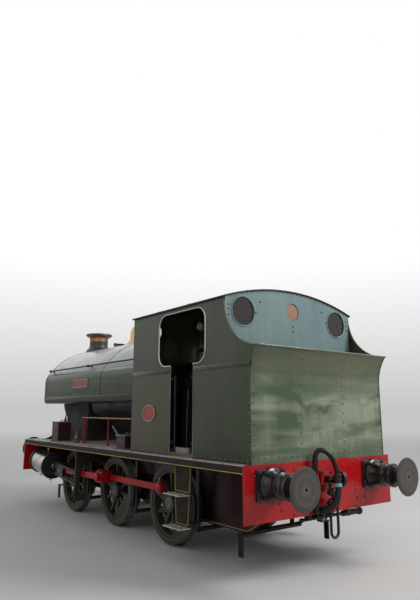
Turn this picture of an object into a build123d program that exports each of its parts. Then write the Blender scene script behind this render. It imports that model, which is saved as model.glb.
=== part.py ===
from build123d import *
from math import asin, cos, degrees, radians, sin, sqrt, tan
import os

# Outside-cylinder six-coupled saddle tank locomotive.
# Millimetres. X runs forward, Y to the locomotive's left, Z up.
# X is 0 midway between the beams, Y is 0 on the centre line, Z is 0 at the flange tips.

os.makedirs("parts", exist_ok=True)

# Overall sizes
beam_span = 6500          # over the outer faces of the two beams
beam_half = 1220          # half the width of beams and running plate
beam_t = 32
beam_depth = 573
plate_h = 1150            # running plate top above the rail
plate_t = 10
valance_t = 12
valance_depth = 84
seat = 0.3                # gap where a curved piece sits on another
press = 0.1               # gap of a bore round its pin or shaft
sheet = 8                 # cab and bunker plating

# Wheels, axles and cranks
wheel_d = 991
flange_h = 28
tyre_w = 127
tyre_t = 58
back_half = 680           # half the distance between the backs of the tyres
axle_r = 75
rear_overhang = 1976      # rear beam to the rear axle
axle_pitch = 1524
axle_count = 3
spoke_count = 10
spoke_w = 46
spoke_t = 46
rim_t = 50
rim_w = 104
hub_r = 118
hub_out = 822             # hub face from the centre line
hub_in = 660
boss_r = 96
boss_proud = 6            # boss stands out from the hub
hub_step = 12             # web between hub and boss lies back by this
spoke_root = 10           # spokes run into hub and rim by this
weight_proud = 14         # balance weights stand out from the spokes
crank_throw = 254
crank_angle = 48          # left cranks, above forward
pin_r = 45
drive_pin_r = 52
pin_end = 889
washer_lip = 18           # pin washers wider than the pin
sheave_r = 158            # eccentrics on the driving axle
sheave_t = 52
sheave_throw = 62

# Rods, slide bars and cylinders
rod_gap = 2
rod_t = 48                # coupling rod thickness
rod_h = 84
rod_eye_r = 82
rod_flute = 6             # eyes stand out from the rod by this
oil_cup_w = 34
oil_cup_h = 44
motion_slope = 5.7        # cylinders are inclined to aim at the driving axle
cyl_y = 970               # cylinder centre line from the middle
con_length = 1500
con_t = 50
bar_w = 32
bar_h = 40
bar_gap = 150             # between upper and lower bars
bar_clear = 8             # connecting rod clear of the inner bars
bar_end_gap = 30          # bars end before the cylinder
head_length = 300         # crosshead
slipper_t = 28
slipper_over = 20         # slippers longer than the head at each end
gudgeon_r = 30
small_end_r = 56
con_small_h = 68          # connecting rod's depth at the crosshead
con_big_h = 96            # and at the crank
big_end_l = 210
big_end_h = 172
strap_l = 190
strap_h = 150
strap_far = 38            # strap's face from the rod's centre line
big_end_cap = 60          # round cap over the crank pin
bracket_at = 4355         # motion bracket, from the rear beam's face
bracket_t = 25
bracket_h = 250           # lower edge above the rail
bracket_over = 55         # bracket beyond the outer bars
bracket_slot = 430        # opening for the connecting rod
cyl_start = 2090          # cylinder body, measured along its axis from the driving axle
cyl_length = 640
cyl_r = 214
cyl_flange_r = 234
cyl_flange_t = 30
piston_entry = 12         # piston rod left in the cylinder at the back dead centre
piston_rod_r = 32
block_h = 330             # casting between cylinder and frame
block_foot_h = 250

# Frames
frame_in = 600
frame_t = 28
frame_h = 330             # lower edge above the rail
horn_w = 200
horn_rise = 140
box_h = 240               # axleboxes
box_in = 30               # inside the frames
box_out = 14              # outside them
keep_t = 30               # keep under each horn
keep_over = 65            # beyond the horn at each end
ramp_start = 170          # frames' lower edge slopes down behind each beam
ramp_end = 598
guard_at = 640            # guard irons over the rails, from the beam's face
guard_y = 735
guard_h = 95
guard_w = 70
guard_t = 20
stretcher_t = 18

# Leaf springs under the axleboxes
leaf_t = 13
leaf_w = 76
leaf_count = 6
leaf_bend = 1500          # radius of the top leaf
leaf_reach = 370          # half length of the top leaf
leaf_step = 56            # each leaf below is shorter by this at each end
spring_drop = 26          # top leaf below the keep
hanger_at = 340
hanger_w = 34
buckle_l = 92
buckle_wall = 8

# Brake gear behind each pair of wheels
shoe_gap = 8
shoe_t = 46
shoe_w = 76
shoe_h = 330
shoe_in = 42              # from the tyre's back
brake_hanger_h = 790
brake_hanger_w = 64
brake_hanger_t = 28
brake_hanger_top = 985    # pin above the rail
brake_hanger_back = 24    # behind the shoe
brake_beam_h = 265
brake_beam_r = 27
brake_shaft_back = 520    # cross shaft behind the rearmost beam
brake_shaft_r = 30
brake_arm_y = 350
brake_arm_h = 400

# Boiler, smokebox and tank
boiler_h = 1880
boiler_r = 550
smokebox_r = 585
smokebox_start = 5080     # from the rear beam's face
smokebox_end = 6210
smokebox_wall = 12
smokebox_front_t = 12
door_r = 455
door_lip = 25             # door over its opening
door_rim = 22
door_dish = 112
door_strap_at = 210
door_hinge_in = 48        # hinge pin beyond the door's edge
door_hinge_out = 34       # hinge pin before the smokebox's face
door_pin_r = 11
door_strap_w = 56
door_boss_r = 34
door_handle_l = 230
saddle_half = 550         # smokebox saddle
wing_half = 1010
wing_t = 24
firebox_start = 2060
firebox_end = 2950
firebox_half = 550
grate_h = 610
ashpan_h = 240
ashpan_in = 30
tank_half = 1020
tank_low_h = 1820
tank_arc_h = 1725         # centre of the tank's crown arc
tank_bulge = 145          # crown arc's radius over half the tank's width
tank_shoulder_r = 220
tank_foot_r = 60
tank_rail_rise = 152      # handrail above the shoulder's corner
tank_rail_out = 75
rail_r = 14
rail_knob_r = 26
tank_end = 6130
chimney_at = 5960
dome_at = 4215
filler_at = 5030
mount_foot = 90           # each mounting's foot runs down past the crown
lid_r = 128
lid_t = 18
lid_gap = 1               # lid over the neck
neck_h = 40
lid_hinge_out = 28        # hinge pin beyond the lid's edge
lid_pin_r = 13
lid_pin_h = 54            # above the crown
lid_lug_at = 44
neck_lug_at = 76

# Cab and bunker
cab_inset = 100           # cab sides in from the running plate's edge
cab_front_at = 2500
cab_back_at = 430
bunker_front_at = 800
roof_r = 3500
roof_crown_h = 3190
bunker_top_h = 2380
flare_out = 117
flare_rise = 350
sweep_out = 130           # concave edge starts this far behind the beam
sweep_drop = 46           # and ends this far under the roof
sweep_edge = 10           # side's upright edge forward of the back plate
door_gap = (1030, 1530)   # doorway, from the rear beam's face
window_gap = (790, 1810)
window_drop = 258         # windows' heights are measured down from the roof's crown
window_h = 680
window_r = 160
spectacle_drop = 345
spectacle_in = 285        # round windows from the cab's side
spectacle_r = 172
spectacle_lap = 12        # glass over its opening
front_window_drop = 345
front_window_in = 300
front_window_r = 172
glass_t = 6
plug_drop = 265
plug_r = 110
plug_t = 10
back_fold = 20            # back plate upright down to this above the bunker's top
back_slope = 360          # then forward to this below it
roof_over = 20            # roof past the cab's sides
roof_back = 14            # past its back
roof_front = 30           # past its front
floor_t = 40
fire_door_rise = 330      # firehole above the running plate
fire_door_r = 168
fire_hinge_y = -232
fire_pin_r = 9
brake_column_in = 292     # handbrake from the cab's right side
brake_column_h = 820
brake_column_r = 34
reverser_in = 212
reverser_h = 960
door_rail_in = 52         # doorway rails from the doorway's edges
door_rail_r = 13
door_rail_h = 940
door_rail_off = 34        # inside the cab's sides

# Steps under the doorways
step_in = 144             # backplate in from the running plate's edge
step_t = 12
step_low = 357
step_high = 720
step_l = 350
step_w = 160
step_root_half = 190      # backplate's half width at the running plate
step_high_half = 170      # and at each step
step_low_half = 140
tread_t = 10

# Rods, pipe, valve and lever on the running plate
fitting_in = 320
fitting_h = 422
fitting_rod_r = 11
fitting_pipe_r = 16
pipe_past = 60            # pipe runs on past the front rod
valve_at = 4725
valve_out = 30
valve_pipe_r = 20
valve_pipe_l = 180
valve_pipe_h = 85
lever_at = 3270
lever_length = 500
lever_slope = 35
lever_t = 14
lever_w = 44

# Buffers and couplings
buffer_y = 870
buffer_h = 945
buffer_reach = 505
buffer_head_r = 203
buffer_shank_r = 66
buffer_base_w = 400
buffer_base_h = 310
buffer_base_t = 26

# Drawhooks and screw couplings
hook_low = 8              # hooks under the buffers' centre line
hook_t = 46
hook_out = 205
hook_r = 92
hook_throat_r = 38
hook_plate = 190
hook_plate_t = 18
link_y = 50
link_r = 15
shackle_out = 105
shackle_r = 21
screw_drop = 250
screw_h = 130
screw_r = 19
link_h = 300              # lowest point above the rail

# Brake pipes and hoses on the beams
pipe_r = 28
pipe_bend = 98
hose_r = 36
hose_clip = 10            # clips thicker than the hose

# Worked out from the sizes above
rail_z = flange_h
x_rear = -beam_span / 2
x_front = beam_span / 2
axle_z = rail_z + wheel_d / 2
axles = [x_rear + rear_overhang + i * axle_pitch for i in range(axle_count)]
drive_x = axles[1]
plate_z = rail_z + plate_h
under_z = plate_z - plate_t
beam_low = plate_z - beam_depth
frame_out = frame_in + frame_t
frame_low = rail_z + frame_h
guard_low = rail_z + guard_h
boiler_z = rail_z + boiler_h
tyre_r = wheel_d / 2
tyre_in = tyre_r - tyre_t
face_out = back_half + tyre_w
rod_in = hub_out + boss_proud + rod_gap
rod_out = rod_in + rod_t
buffer_z = rail_z + buffer_h
tank_low = rail_z + tank_low_h
tank_arc_z = rail_z + tank_arc_h
tank_arc_r = tank_half + tank_bulge
cab_half = beam_half - cab_inset
roof_z = rail_z + roof_crown_h
bunker_z = rail_z + bunker_top_h
crown_z = tank_arc_z + tank_arc_r
x_cab = x_rear + cab_front_at
x_back = x_rear + cab_back_at
x_bunker = x_rear + bunker_front_at
cab_in = cab_half - sheet
left_angle = radians(crank_angle)
right_angle = radians(crank_angle - 90)
sides = ((1, "left", left_angle), (-1, "right", right_angle))
slope = radians(motion_slope)


def side_plane(side, near, far, x=0, z=0):
    """Upright plane along the engine; extruding far - near fills near to far on that side."""
    y = far if side > 0 else -near
    return Plane(origin=(x, y, z), x_dir=(1, 0, 0), z_dir=(0, -1, 0))


def motion_plane(side, near, far):
    """As side_plane, but along the cylinder's inclined centre line from the driving axle."""
    y = far if side > 0 else -near
    return Plane(origin=(drive_x, y, axle_z), x_dir=(cos(slope), 0, sin(slope)), z_dir=(0, -1, 0))


def crank(angle, x=0, z=0):
    """Place of a crank pin's centre for an axle at x, z."""
    return (x + crank_throw * cos(angle), z + crank_throw * sin(angle))


def roof_under(y):
    """Height of the roof's underside at a distance from the centre line."""
    return roof_z - roof_r + sqrt((roof_r - sheet) ** 2 - y ** 2)


def save(part, name):
    part.label = name
    export_step(part, f"parts/{name}.step")


# Wheelsets: one axle, two spoked centres and two tyres each
tyre_profile = [
    (back_half, tyre_in),
    (back_half, tyre_r + flange_h - 12),
    (back_half + 10, tyre_r + flange_h),
    (back_half + 20, tyre_r + flange_h),
    (back_half + 34, tyre_r),
    (face_out, tyre_r),
    (face_out, tyre_in),
]
# name, axle x, balance weight's inner chord as a share of the rim
wheelsets = (("rear", axles[0], 0.80), ("driving", axles[1], 0.62), ("front", axles[2], 0.80))
for name, axle_x, chord in wheelsets:
    pin = drive_pin_r if name == "driving" else pin_r
    rim_out = tyre_in
    rim_in = rim_out - rim_t

    with BuildPart() as tyres:
        with BuildSketch(Plane(origin=(axle_x, 0, axle_z), x_dir=(0, 1, 0), z_dir=(1, 0, 0))):
            with BuildLine():
                Polyline(*tyre_profile, close=True)
            make_face()
        revolve(axis=Axis((axle_x, 0, axle_z), (0, 1, 0)))
        mirror(about=Plane.XZ)
    save(tyres.part, f"tyres_{name}")

    with BuildPart() as centres:
        for side, _, angle in sides:
            pin_at = crank(angle)
            rim_near = back_half + (tyre_w - rim_w) / 2
            with BuildSketch(side_plane(side, rim_near, rim_near + rim_w, axle_x, axle_z)):
                Circle(rim_out)
                Circle(rim_in, mode=Mode.SUBTRACT)
            extrude(amount=rim_w)
            spoke_near = back_half + (tyre_w - spoke_t) / 2
            boss_far = rod_in - rod_gap
            web_near = spoke_near - hub_step
            web_far = hub_out - hub_step
            with BuildSketch(side_plane(side, spoke_near, spoke_near + spoke_t, axle_x, axle_z)):
                with PolarLocations((hub_r + rim_in) / 2, spoke_count, degrees(angle)):
                    Rectangle(rim_in - hub_r + 2 * spoke_root, spoke_w)
            extrude(amount=spoke_t)
            with BuildSketch(side_plane(side, hub_in, hub_out, axle_x, axle_z)):
                Circle(hub_r)
            extrude(amount=hub_out - hub_in)
            with BuildSketch(side_plane(side, web_near, web_far, axle_x, axle_z)):
                Circle(hub_r - hub_step)
                with Locations(pin_at):
                    Circle(boss_r - hub_step)
                make_hull()
            extrude(amount=web_far - web_near)
            with BuildSketch(side_plane(side, spoke_near, boss_far, axle_x, axle_z)):
                with Locations(pin_at):
                    Circle(boss_r)
            extrude(amount=boss_far - spoke_near)
            weight_near = spoke_near - weight_proud
            weight_t = spoke_t + 2 * weight_proud
            with BuildSketch(side_plane(side, weight_near, weight_near + weight_t, axle_x, axle_z)):
                Circle(rim_in + spoke_root)
                with Locations(Location((0, 0, 0), (0, 0, degrees(angle)))):
                    with Locations((rim_in * (1 - chord), 0)):
                        Rectangle(2 * rim_in, 3 * rim_in, mode=Mode.SUBTRACT)
            extrude(amount=weight_t)
            with BuildSketch(side_plane(side, hub_out, pin_end, axle_x, axle_z)):
                with Locations(pin_at):
                    Circle(pin)
            extrude(amount=pin_end - hub_out)
            with BuildSketch(side_plane(side, rod_out + rod_gap, pin_end, axle_x, axle_z)):
                with Locations(pin_at):
                    Circle(pin + washer_lip)
            extrude(amount=pin_end - rod_out - rod_gap)
            with BuildSketch(side_plane(side, hub_in, hub_out, axle_x, axle_z)):
                Circle(axle_r)
            extrude(amount=hub_out - hub_in, mode=Mode.SUBTRACT)
    save(centres.part, f"wheel_centres_{name}")

    with BuildPart() as axle:
        with Locations((axle_x, 0, axle_z)):
            Cylinder(axle_r, 2 * hub_out, rotation=(90, 0, 0))
        if name == "driving":
            # y, throw direction of the four eccentric sheaves
            for sheave_y, turn in ((290, 100), (225, -100), (-225, 10), (-290, -170)):
                sheave_x = axle_x + sheave_throw * cos(radians(turn))
                sheave_z = axle_z + sheave_throw * sin(radians(turn))
                with Locations((sheave_x, sheave_y, sheave_z)):
                    Cylinder(sheave_r, sheave_t, rotation=(90, 0, 0))
    save(axle.part, f"axle_{name}")

# Coupling rods, one a side, with a round eye and an oil cup at each pin
for side, label, angle in sides:
    pins = [(*crank(angle, x, axle_z), x == drive_x) for x in axles]
    with BuildPart() as coupling_rod:
        with BuildSketch(side_plane(side, rod_in + rod_flute, rod_out - rod_flute)):
            with BuildLine():
                low_z = pins[0][1] - rod_h / 2
                Polyline(
                    (pins[0][0], low_z),
                    (pins[-1][0], low_z),
                    (pins[-1][0], low_z + rod_h),
                    (pins[0][0], low_z + rod_h),
                    close=True,
                )
            make_face()
        extrude(amount=rod_t - 2 * rod_flute)
        with BuildSketch(side_plane(side, rod_in, rod_out)):
            for pin_x, pin_z, is_drive in pins:
                with Locations((pin_x, pin_z)):
                    Circle(rod_eye_r + (drive_pin_r - pin_r if is_drive else 0))
        extrude(amount=rod_t)
        with BuildSketch(side_plane(side, rod_in + 1.5 * rod_flute, rod_out - 1.5 * rod_flute)):
            for pin_x, pin_z, is_drive in pins:
                with Locations((pin_x, pin_z + rod_eye_r + oil_cup_h / 3)):
                    Rectangle(oil_cup_w, oil_cup_h)
        extrude(amount=rod_t - 3 * rod_flute)
        with BuildSketch(side_plane(side, rod_in, rod_out)):
            for pin_x, pin_z, is_drive in pins:
                with Locations((pin_x, pin_z)):
                    Circle((drive_pin_r if is_drive else pin_r) + press)
        extrude(amount=rod_t, mode=Mode.SUBTRACT)
    save(coupling_rod.part, f"coupling_rod_{label}")

# Crosshead, piston rod and connecting rod of each side, on the inclined centre line.
# Distances "along" start at the driving axle.
bar_near = cyl_y - con_t / 2 - bar_clear - bar_w
bar_far = cyl_y + con_t / 2 + bar_clear + bar_w
head_half = bar_gap / 2 - seat
slot_back = 90            # slot for the rod leaves the head's front end solid
piston_reach = cyl_start + piston_entry - (con_length - crank_throw)
for side, label, angle in sides:
    turn = angle - slope
    pin_along = crank_throw * cos(turn)
    pin_up = crank_throw * sin(turn)
    gudgeon = pin_along + sqrt(con_length ** 2 - pin_up ** 2)
    tilt = degrees(asin(-pin_up / con_length))
    slot_near = cyl_y - con_t / 2 - bar_clear / 2
    slot_far = cyl_y + con_t / 2 + bar_clear / 2

    with BuildPart() as crosshead:
        with BuildSketch(motion_plane(side, bar_near, bar_far)):
            with Locations((gudgeon, 0)):
                Rectangle(head_length, 2 * (head_half - slipper_t))
            for edge in (head_half - slipper_t / 2, slipper_t / 2 - head_half):
                with Locations((gudgeon, edge)):
                    Rectangle(head_length + 2 * slipper_over, slipper_t)
        extrude(amount=bar_far - bar_near)
        with BuildSketch(motion_plane(side, slot_near, slot_far)):
            with Locations((gudgeon - slot_back, 0)):
                Rectangle(head_length + 2 * slipper_over, 2 * bar_gap)
        extrude(amount=slot_far - slot_near, mode=Mode.SUBTRACT)
        with BuildSketch(motion_plane(side, bar_near + bar_clear, bar_far - bar_clear)):
            with Locations((gudgeon, 0)):
                Circle(gudgeon_r)
        extrude(amount=bar_far - bar_near - 2 * bar_clear)
        rod_start = gudgeon + head_length / 2 - bar_clear
        rod_plane = Plane(
            origin=(drive_x + rod_start * cos(slope), side * cyl_y, axle_z + rod_start * sin(slope)),
            x_dir=(0, 1, 0),
            z_dir=(cos(slope), 0, sin(slope)),
        )
        with BuildSketch(rod_plane):
            Circle(piston_rod_r)
        extrude(amount=gudgeon + piston_reach - rod_start)
    save(crosshead.part, f"crosshead_{label}")

    with BuildPart() as connecting_rod:
        near = cyl_y - con_t / 2
        far = cyl_y + con_t / 2
        rod_origin = motion_plane(side, near, far).from_local_coords((gudgeon, 0, 0))
        aim = slope + radians(tilt)
        con_plane = Plane(origin=rod_origin, x_dir=(cos(aim), 0, sin(aim)), z_dir=(0, -1, 0))
        with BuildSketch(con_plane):
            with BuildLine():
                Polyline(
                    (0, con_small_h / 2),
                    (0, -con_small_h / 2),
                    (-con_length, -con_big_h / 2),
                    (-con_length, con_big_h / 2),
                    close=True,
                )
            make_face()
            Circle(small_end_r)
            with Locations((-con_length, 0)):
                Rectangle(big_end_l, big_end_h)
        extrude(amount=con_t)
        strap_near = pin_end + boss_proud
        strap_shift = far - (cyl_y + strap_far) if side > 0 else strap_near - near
        with BuildSketch(con_plane.offset(strap_shift)):
            with Locations((-con_length, 0)):
                Rectangle(strap_l, strap_h)
            with Locations((-con_length + 20, big_end_h / 2)):
                Rectangle(46, 50)
        extrude(amount=cyl_y + strap_far - strap_near)
        with BuildSketch(con_plane.offset(-big_end_cap if side > 0 else con_t)):
            with Locations((-con_length, 0)):
                Circle(small_end_r)
        extrude(amount=big_end_cap)
        with BuildSketch(con_plane):
            Circle(gudgeon_r + press)
        extrude(amount=con_t, mode=Mode.SUBTRACT)
    save(connecting_rod.part, f"connecting_rod_{label}")

# Frames, stretchers and beams
beam_in_rear = x_rear + beam_t
beam_in_front = x_front - beam_t
frame_points = [
    (beam_in_rear, under_z),
    (beam_in_rear, beam_low),
    (beam_in_rear + ramp_start, beam_low),
    (beam_in_rear + ramp_end, frame_low),
]
for x in axles:
    frame_points += [
        (x - horn_w / 2, frame_low),
        (x - horn_w / 2, axle_z + horn_rise),
        (x + horn_w / 2, axle_z + horn_rise),
        (x + horn_w / 2, frame_low),
    ]
frame_points += [
    (beam_in_front - ramp_end, frame_low),
    (beam_in_front - ramp_start, beam_low),
    (beam_in_front, beam_low),
    (beam_in_front, under_z),
]
bay = axle_pitch - 2 * leaf_reach - 80
with BuildPart() as frame_plates:
    with BuildSketch(side_plane(1, frame_in, frame_out)):
        with BuildLine():
            Polyline(*frame_points, close=True)
        make_face()
        for x in axles[:-1]:
            with Locations((x + axle_pitch / 2, frame_low)):
                RectangleRounded(bay, 180, 80, mode=Mode.SUBTRACT)
            with Locations((x + axle_pitch / 2, axle_z + 190)):
                SlotOverall(bay - 120, 200, mode=Mode.SUBTRACT)
    extrude(amount=frame_t)
    for x in (x_rear + guard_at, x_front - guard_at):
        with Locations((x, (frame_in + guard_y) / 2, frame_low - guard_t / 2)):
            Box(guard_w + guard_t, guard_y - frame_in, guard_t)
        with Locations((x, guard_y - guard_t / 2, (frame_low + guard_low) / 2)):
            Box(guard_w, guard_t, frame_low - guard_low)
    mirror(about=Plane.XZ)
save(frame_plates.part, "frame_plates")

# Stretchers between the frames: place from the rear beam, low and high edge above the rail
stretchers = (
    ("drag_box", 420, 620, 1090),
    ("cab", 1450, 640, 1130),
    ("firebox", 3010, 640, 1130),
    ("motion", 4250, 480, 1130),
    ("saddle_rear", 5650, 480, 1130),
    ("saddle_front", 6150, 480, 1130),
)
with BuildPart() as frame_stretchers:
    for _, at, low, high in stretchers:
        with Locations((x_rear + at, 0, rail_z + (low + high) / 2)):
            Box(stretcher_t, 2 * frame_in, high - low)
save(frame_stretchers.part, "frame_stretchers")

with BuildPart() as buffer_beams:
    with Locations((x_rear + beam_t / 2, 0, plate_z - beam_depth / 2)):
        Box(beam_t, 2 * beam_half, beam_depth)
    mirror(about=Plane.YZ)
save(buffer_beams.part, "buffer_beams")

# Axleboxes slide in the horns; a keep closes each horn and carries the spring
with BuildPart() as axleboxes:
    for x in axles:
        with BuildSketch(side_plane(1, frame_in - box_in, frame_out + box_out, x, axle_z)):
            Rectangle(horn_w - 2 * seat, box_h)
            Circle(axle_r + press, mode=Mode.SUBTRACT)
        extrude(amount=frame_t + box_in + box_out)
    mirror(about=Plane.XZ)
save(axleboxes.part, "axleboxes")

with BuildPart() as horn_keeps:
    for x in axles:
        with Locations((x, frame_in + frame_t / 2, frame_low - keep_t / 2)):
            Box(horn_w + 2 * keep_over, frame_t, keep_t)
    mirror(about=Plane.XZ)
save(horn_keeps.part, "horn_keeps")

spring_y = frame_in + frame_t / 2
spring_top = frame_low - keep_t - spring_drop
hanger_z = spring_top + leaf_bend - sqrt(leaf_bend ** 2 - hanger_at ** 2)
with BuildPart() as leaf_springs:
    for x in axles:
        with BuildSketch(side_plane(1, spring_y - leaf_w / 2, spring_y + leaf_w / 2, x, spring_top)):
            for i in range(leaf_count):
                reach = degrees((leaf_reach - leaf_step * i) / leaf_bend)
                near_r = leaf_bend + i * leaf_t
                with BuildLine():
                    upper = CenterArc((0, leaf_bend), near_r, 270 - reach, 2 * reach)
                    lower = CenterArc((0, leaf_bend), near_r + leaf_t, 270 - reach, 2 * reach)
                    Line(upper @ 0, lower @ 0)
                    Line(upper @ 1, lower @ 1)
                make_face()
        extrude(amount=leaf_w)
        buckle_h = spring_drop + leaf_count * leaf_t + buckle_wall
        with Locations((x, spring_y, spring_top + spring_drop - buckle_h / 2)):
            Box(buckle_l, leaf_w + 2 * buckle_wall, buckle_h)
        for end in (-hanger_at, hanger_at):
            with Locations((x + end, spring_y, (hanger_z - leaf_t / 2 + frame_low) / 2)):
                Box(hanger_w, frame_t - 2, frame_low - hanger_z + leaf_t / 2)
    mirror(about=Plane.XZ)
save(leaf_springs.part, "leaf_springs")

# Running plate with its valances
with BuildPart() as running_plate:
    with Locations((0, 0, plate_z - plate_t / 2)):
        Box(beam_in_front - beam_in_rear, 2 * beam_half, plate_t)
    for side in (1, -1):
        with Locations((0, side * (beam_half - valance_t / 2), under_z - valance_depth / 2)):
            Box(beam_in_front - beam_in_rear, valance_t, valance_depth)
    with Locations((x_rear + (firebox_start + firebox_end) / 2, 0, plate_z)):
        Box(firebox_end - firebox_start + 2 * sheet, 2 * (firebox_half + sheet), 4 * plate_t,
            mode=Mode.SUBTRACT)
save(running_plate.part, "running_plate")

# Boiler barrel, firebox and ashpan
with BuildPart() as boiler:
    with Locations((x_rear + (firebox_end + smokebox_start) / 2, 0, boiler_z)):
        Cylinder(boiler_r, smokebox_start - firebox_end, rotation=(0, 90, 0))
save(boiler.part, "boiler")

grate_z = rail_z + grate_h
with BuildPart() as firebox:
    with BuildSketch(Plane.YZ.offset(x_rear + firebox_start)):
        with Locations((0, boiler_z)):
            Circle(firebox_half)
        with Locations((0, (boiler_z + grate_z) / 2)):
            Rectangle(2 * firebox_half, boiler_z - grate_z)
    extrude(amount=firebox_end - firebox_start)
save(firebox.part, "firebox")

with BuildPart() as ashpan:
    with BuildSketch(Plane.XY.offset(grate_z)):
        with Locations((x_rear + (firebox_start + firebox_end) / 2, 0)):
            Rectangle(firebox_end - firebox_start - 2 * ashpan_in, 2 * (firebox_half - ashpan_in))
    extrude(amount=-ashpan_h, taper=12)
save(ashpan.part, "ashpan")

# Smokebox: a hollow drum with a dished door, on a saddle with curved wings
x_smoke = x_rear + smokebox_start
x_face = x_rear + smokebox_end
hinge_y = -(door_r + door_hinge_in)
hinge_x = x_face + door_hinge_out
lug_at = door_strap_at + 52
with BuildPart() as smokebox:
    with BuildSketch(Plane.YZ.offset(x_smoke)):
        with Locations((0, boiler_z)):
            Circle(smokebox_r)
    extrude(amount=smokebox_end - smokebox_start)
    with BuildSketch(Plane.YZ.offset(x_smoke + smokebox_wall)):
        with Locations((0, boiler_z)):
            Circle(smokebox_r - smokebox_wall)
    extrude(amount=smokebox_end - smokebox_start - smokebox_wall - smokebox_front_t,
            mode=Mode.SUBTRACT)
    with BuildSketch(Plane.YZ.offset(x_face - smokebox_front_t)):
        with Locations((0, boiler_z)):
            Circle(door_r - door_lip)
    extrude(amount=smokebox_front_t, mode=Mode.SUBTRACT)
    for end in (-lug_at, lug_at):
        with Locations((x_face + 25, hinge_y, boiler_z + end)):
            Box(50, 44, 30)
        with Locations((hinge_x, hinge_y, boiler_z + end)):
            Cylinder(door_pin_r + press, 40, mode=Mode.SUBTRACT)
save(smokebox.part, "smokebox")

wing_plane = Plane.YZ.offset(x_face - 120)
wing_in = saddle_half - 20
with BuildPart() as smokebox_saddle:
    with BuildSketch(Plane.YZ.offset(x_smoke + 60)):
        with Locations((0, (boiler_z + plate_z) / 2)):
            Rectangle(2 * saddle_half, boiler_z - plate_z)
        with Locations((0, boiler_z)):
            Circle(smokebox_r + seat, mode=Mode.SUBTRACT)
    extrude(amount=smokebox_end - smokebox_start - 180)
    for side in (1, -1):
        with BuildSketch(wing_plane):
            with BuildLine():
                Line((side * wing_in, plate_z), (side * wing_half, plate_z))
                ThreePointArc(
                    (side * wing_half, plate_z),
                    (side * (smokebox_r + 110), plate_z + 190),
                    (side * (smokebox_r + 2), boiler_z - 60),
                )
                Line((side * (smokebox_r + 2), boiler_z - 60), (side * wing_in, plate_z))
            make_face()
            with Locations((0, boiler_z)):
                Circle(smokebox_r + seat, mode=Mode.SUBTRACT)
        extrude(amount=wing_t)
save(smokebox_saddle.part, "smokebox_saddle")

with BuildPart() as smokebox_door:
    with BuildSketch(Plane(origin=(x_face, 0, boiler_z), x_dir=(1, 0, 0), z_dir=(0, -1, 0))):
        with BuildLine():
            Polyline((2, 0), (2, door_r), (door_rim, door_r))
            ThreePointArc((door_rim, door_r), (0.79 * door_dish, 0.55 * door_r), (door_dish, 0))
            Line((door_dish, 0), (2, 0))
        make_face()
    revolve(axis=Axis((x_face, 0, boiler_z), (1, 0, 0)))
    for strap in (-door_strap_at, door_strap_at):
        with Locations((hinge_x, hinge_y * 0.6, boiler_z + strap)):
            Box(52, -hinge_y * 0.8, door_strap_w)
        with Locations((hinge_x, hinge_y, boiler_z + strap)):
            Cylinder(20, door_strap_w)
    with Locations((hinge_x, hinge_y, boiler_z)):
        Cylinder(door_pin_r, 2 * lug_at + 36)
    with Locations((x_face + door_dish + 18, 0, boiler_z)):
        Cylinder(door_boss_r, 60, rotation=(0, 90, 0))
    for turn, out in ((70, door_dish + 38), (200, door_dish + 60)):
        with Locations(Location((x_face + out, 0, boiler_z), (turn, 0, 0))):
            with Locations((0, 0, door_handle_l / 2)):
                Cylinder(11, door_handle_l)
        with Locations((x_face + out, 0, boiler_z)):
            Cylinder(22, 26, rotation=(0, 90, 0))
save(smokebox_door.part, "smokebox_door")

# Saddle tank over boiler and smokebox
with BuildPart() as saddle_tank:
    shoulder_z = tank_arc_z + sqrt(tank_arc_r ** 2 - tank_half ** 2)
    smokebox_bay = 2 * (tank_end - smokebox_start)
    with BuildSketch(Plane.YZ.offset(x_cab)):
        with BuildLine():
            Line((-tank_half, shoulder_z), (-tank_half, tank_low))
            Line((-tank_half, tank_low), (tank_half, tank_low))
            Line((tank_half, tank_low), (tank_half, shoulder_z))
            ThreePointArc(
                (tank_half, shoulder_z), (0, tank_arc_z + tank_arc_r), (-tank_half, shoulder_z)
            )
        make_face()
        fillet(vertices().group_by(Axis.Y)[0], radius=tank_foot_r)
        fillet(vertices().group_by(Axis.Y)[-1], radius=tank_shoulder_r)
        with Locations((0, boiler_z)):
            Circle(boiler_r + seat, mode=Mode.SUBTRACT)
        with Locations((0, tank_low)):
            Rectangle(2 * (boiler_r + seat), 2 * (boiler_z - tank_low), mode=Mode.SUBTRACT)
    extrude(amount=tank_end - cab_front_at)
    with Locations((x_smoke - sheet + smokebox_bay / 2, 0, boiler_z)):
        Cylinder(smokebox_r + seat, smokebox_bay, rotation=(0, 90, 0), mode=Mode.SUBTRACT)
save(saddle_tank.part, "saddle_tank")

lid_pin_y = -(lid_r + lid_hinge_out)
lid_pin_z = crown_z + lid_pin_h
lid_z = crown_z + neck_h + lid_gap

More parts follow.
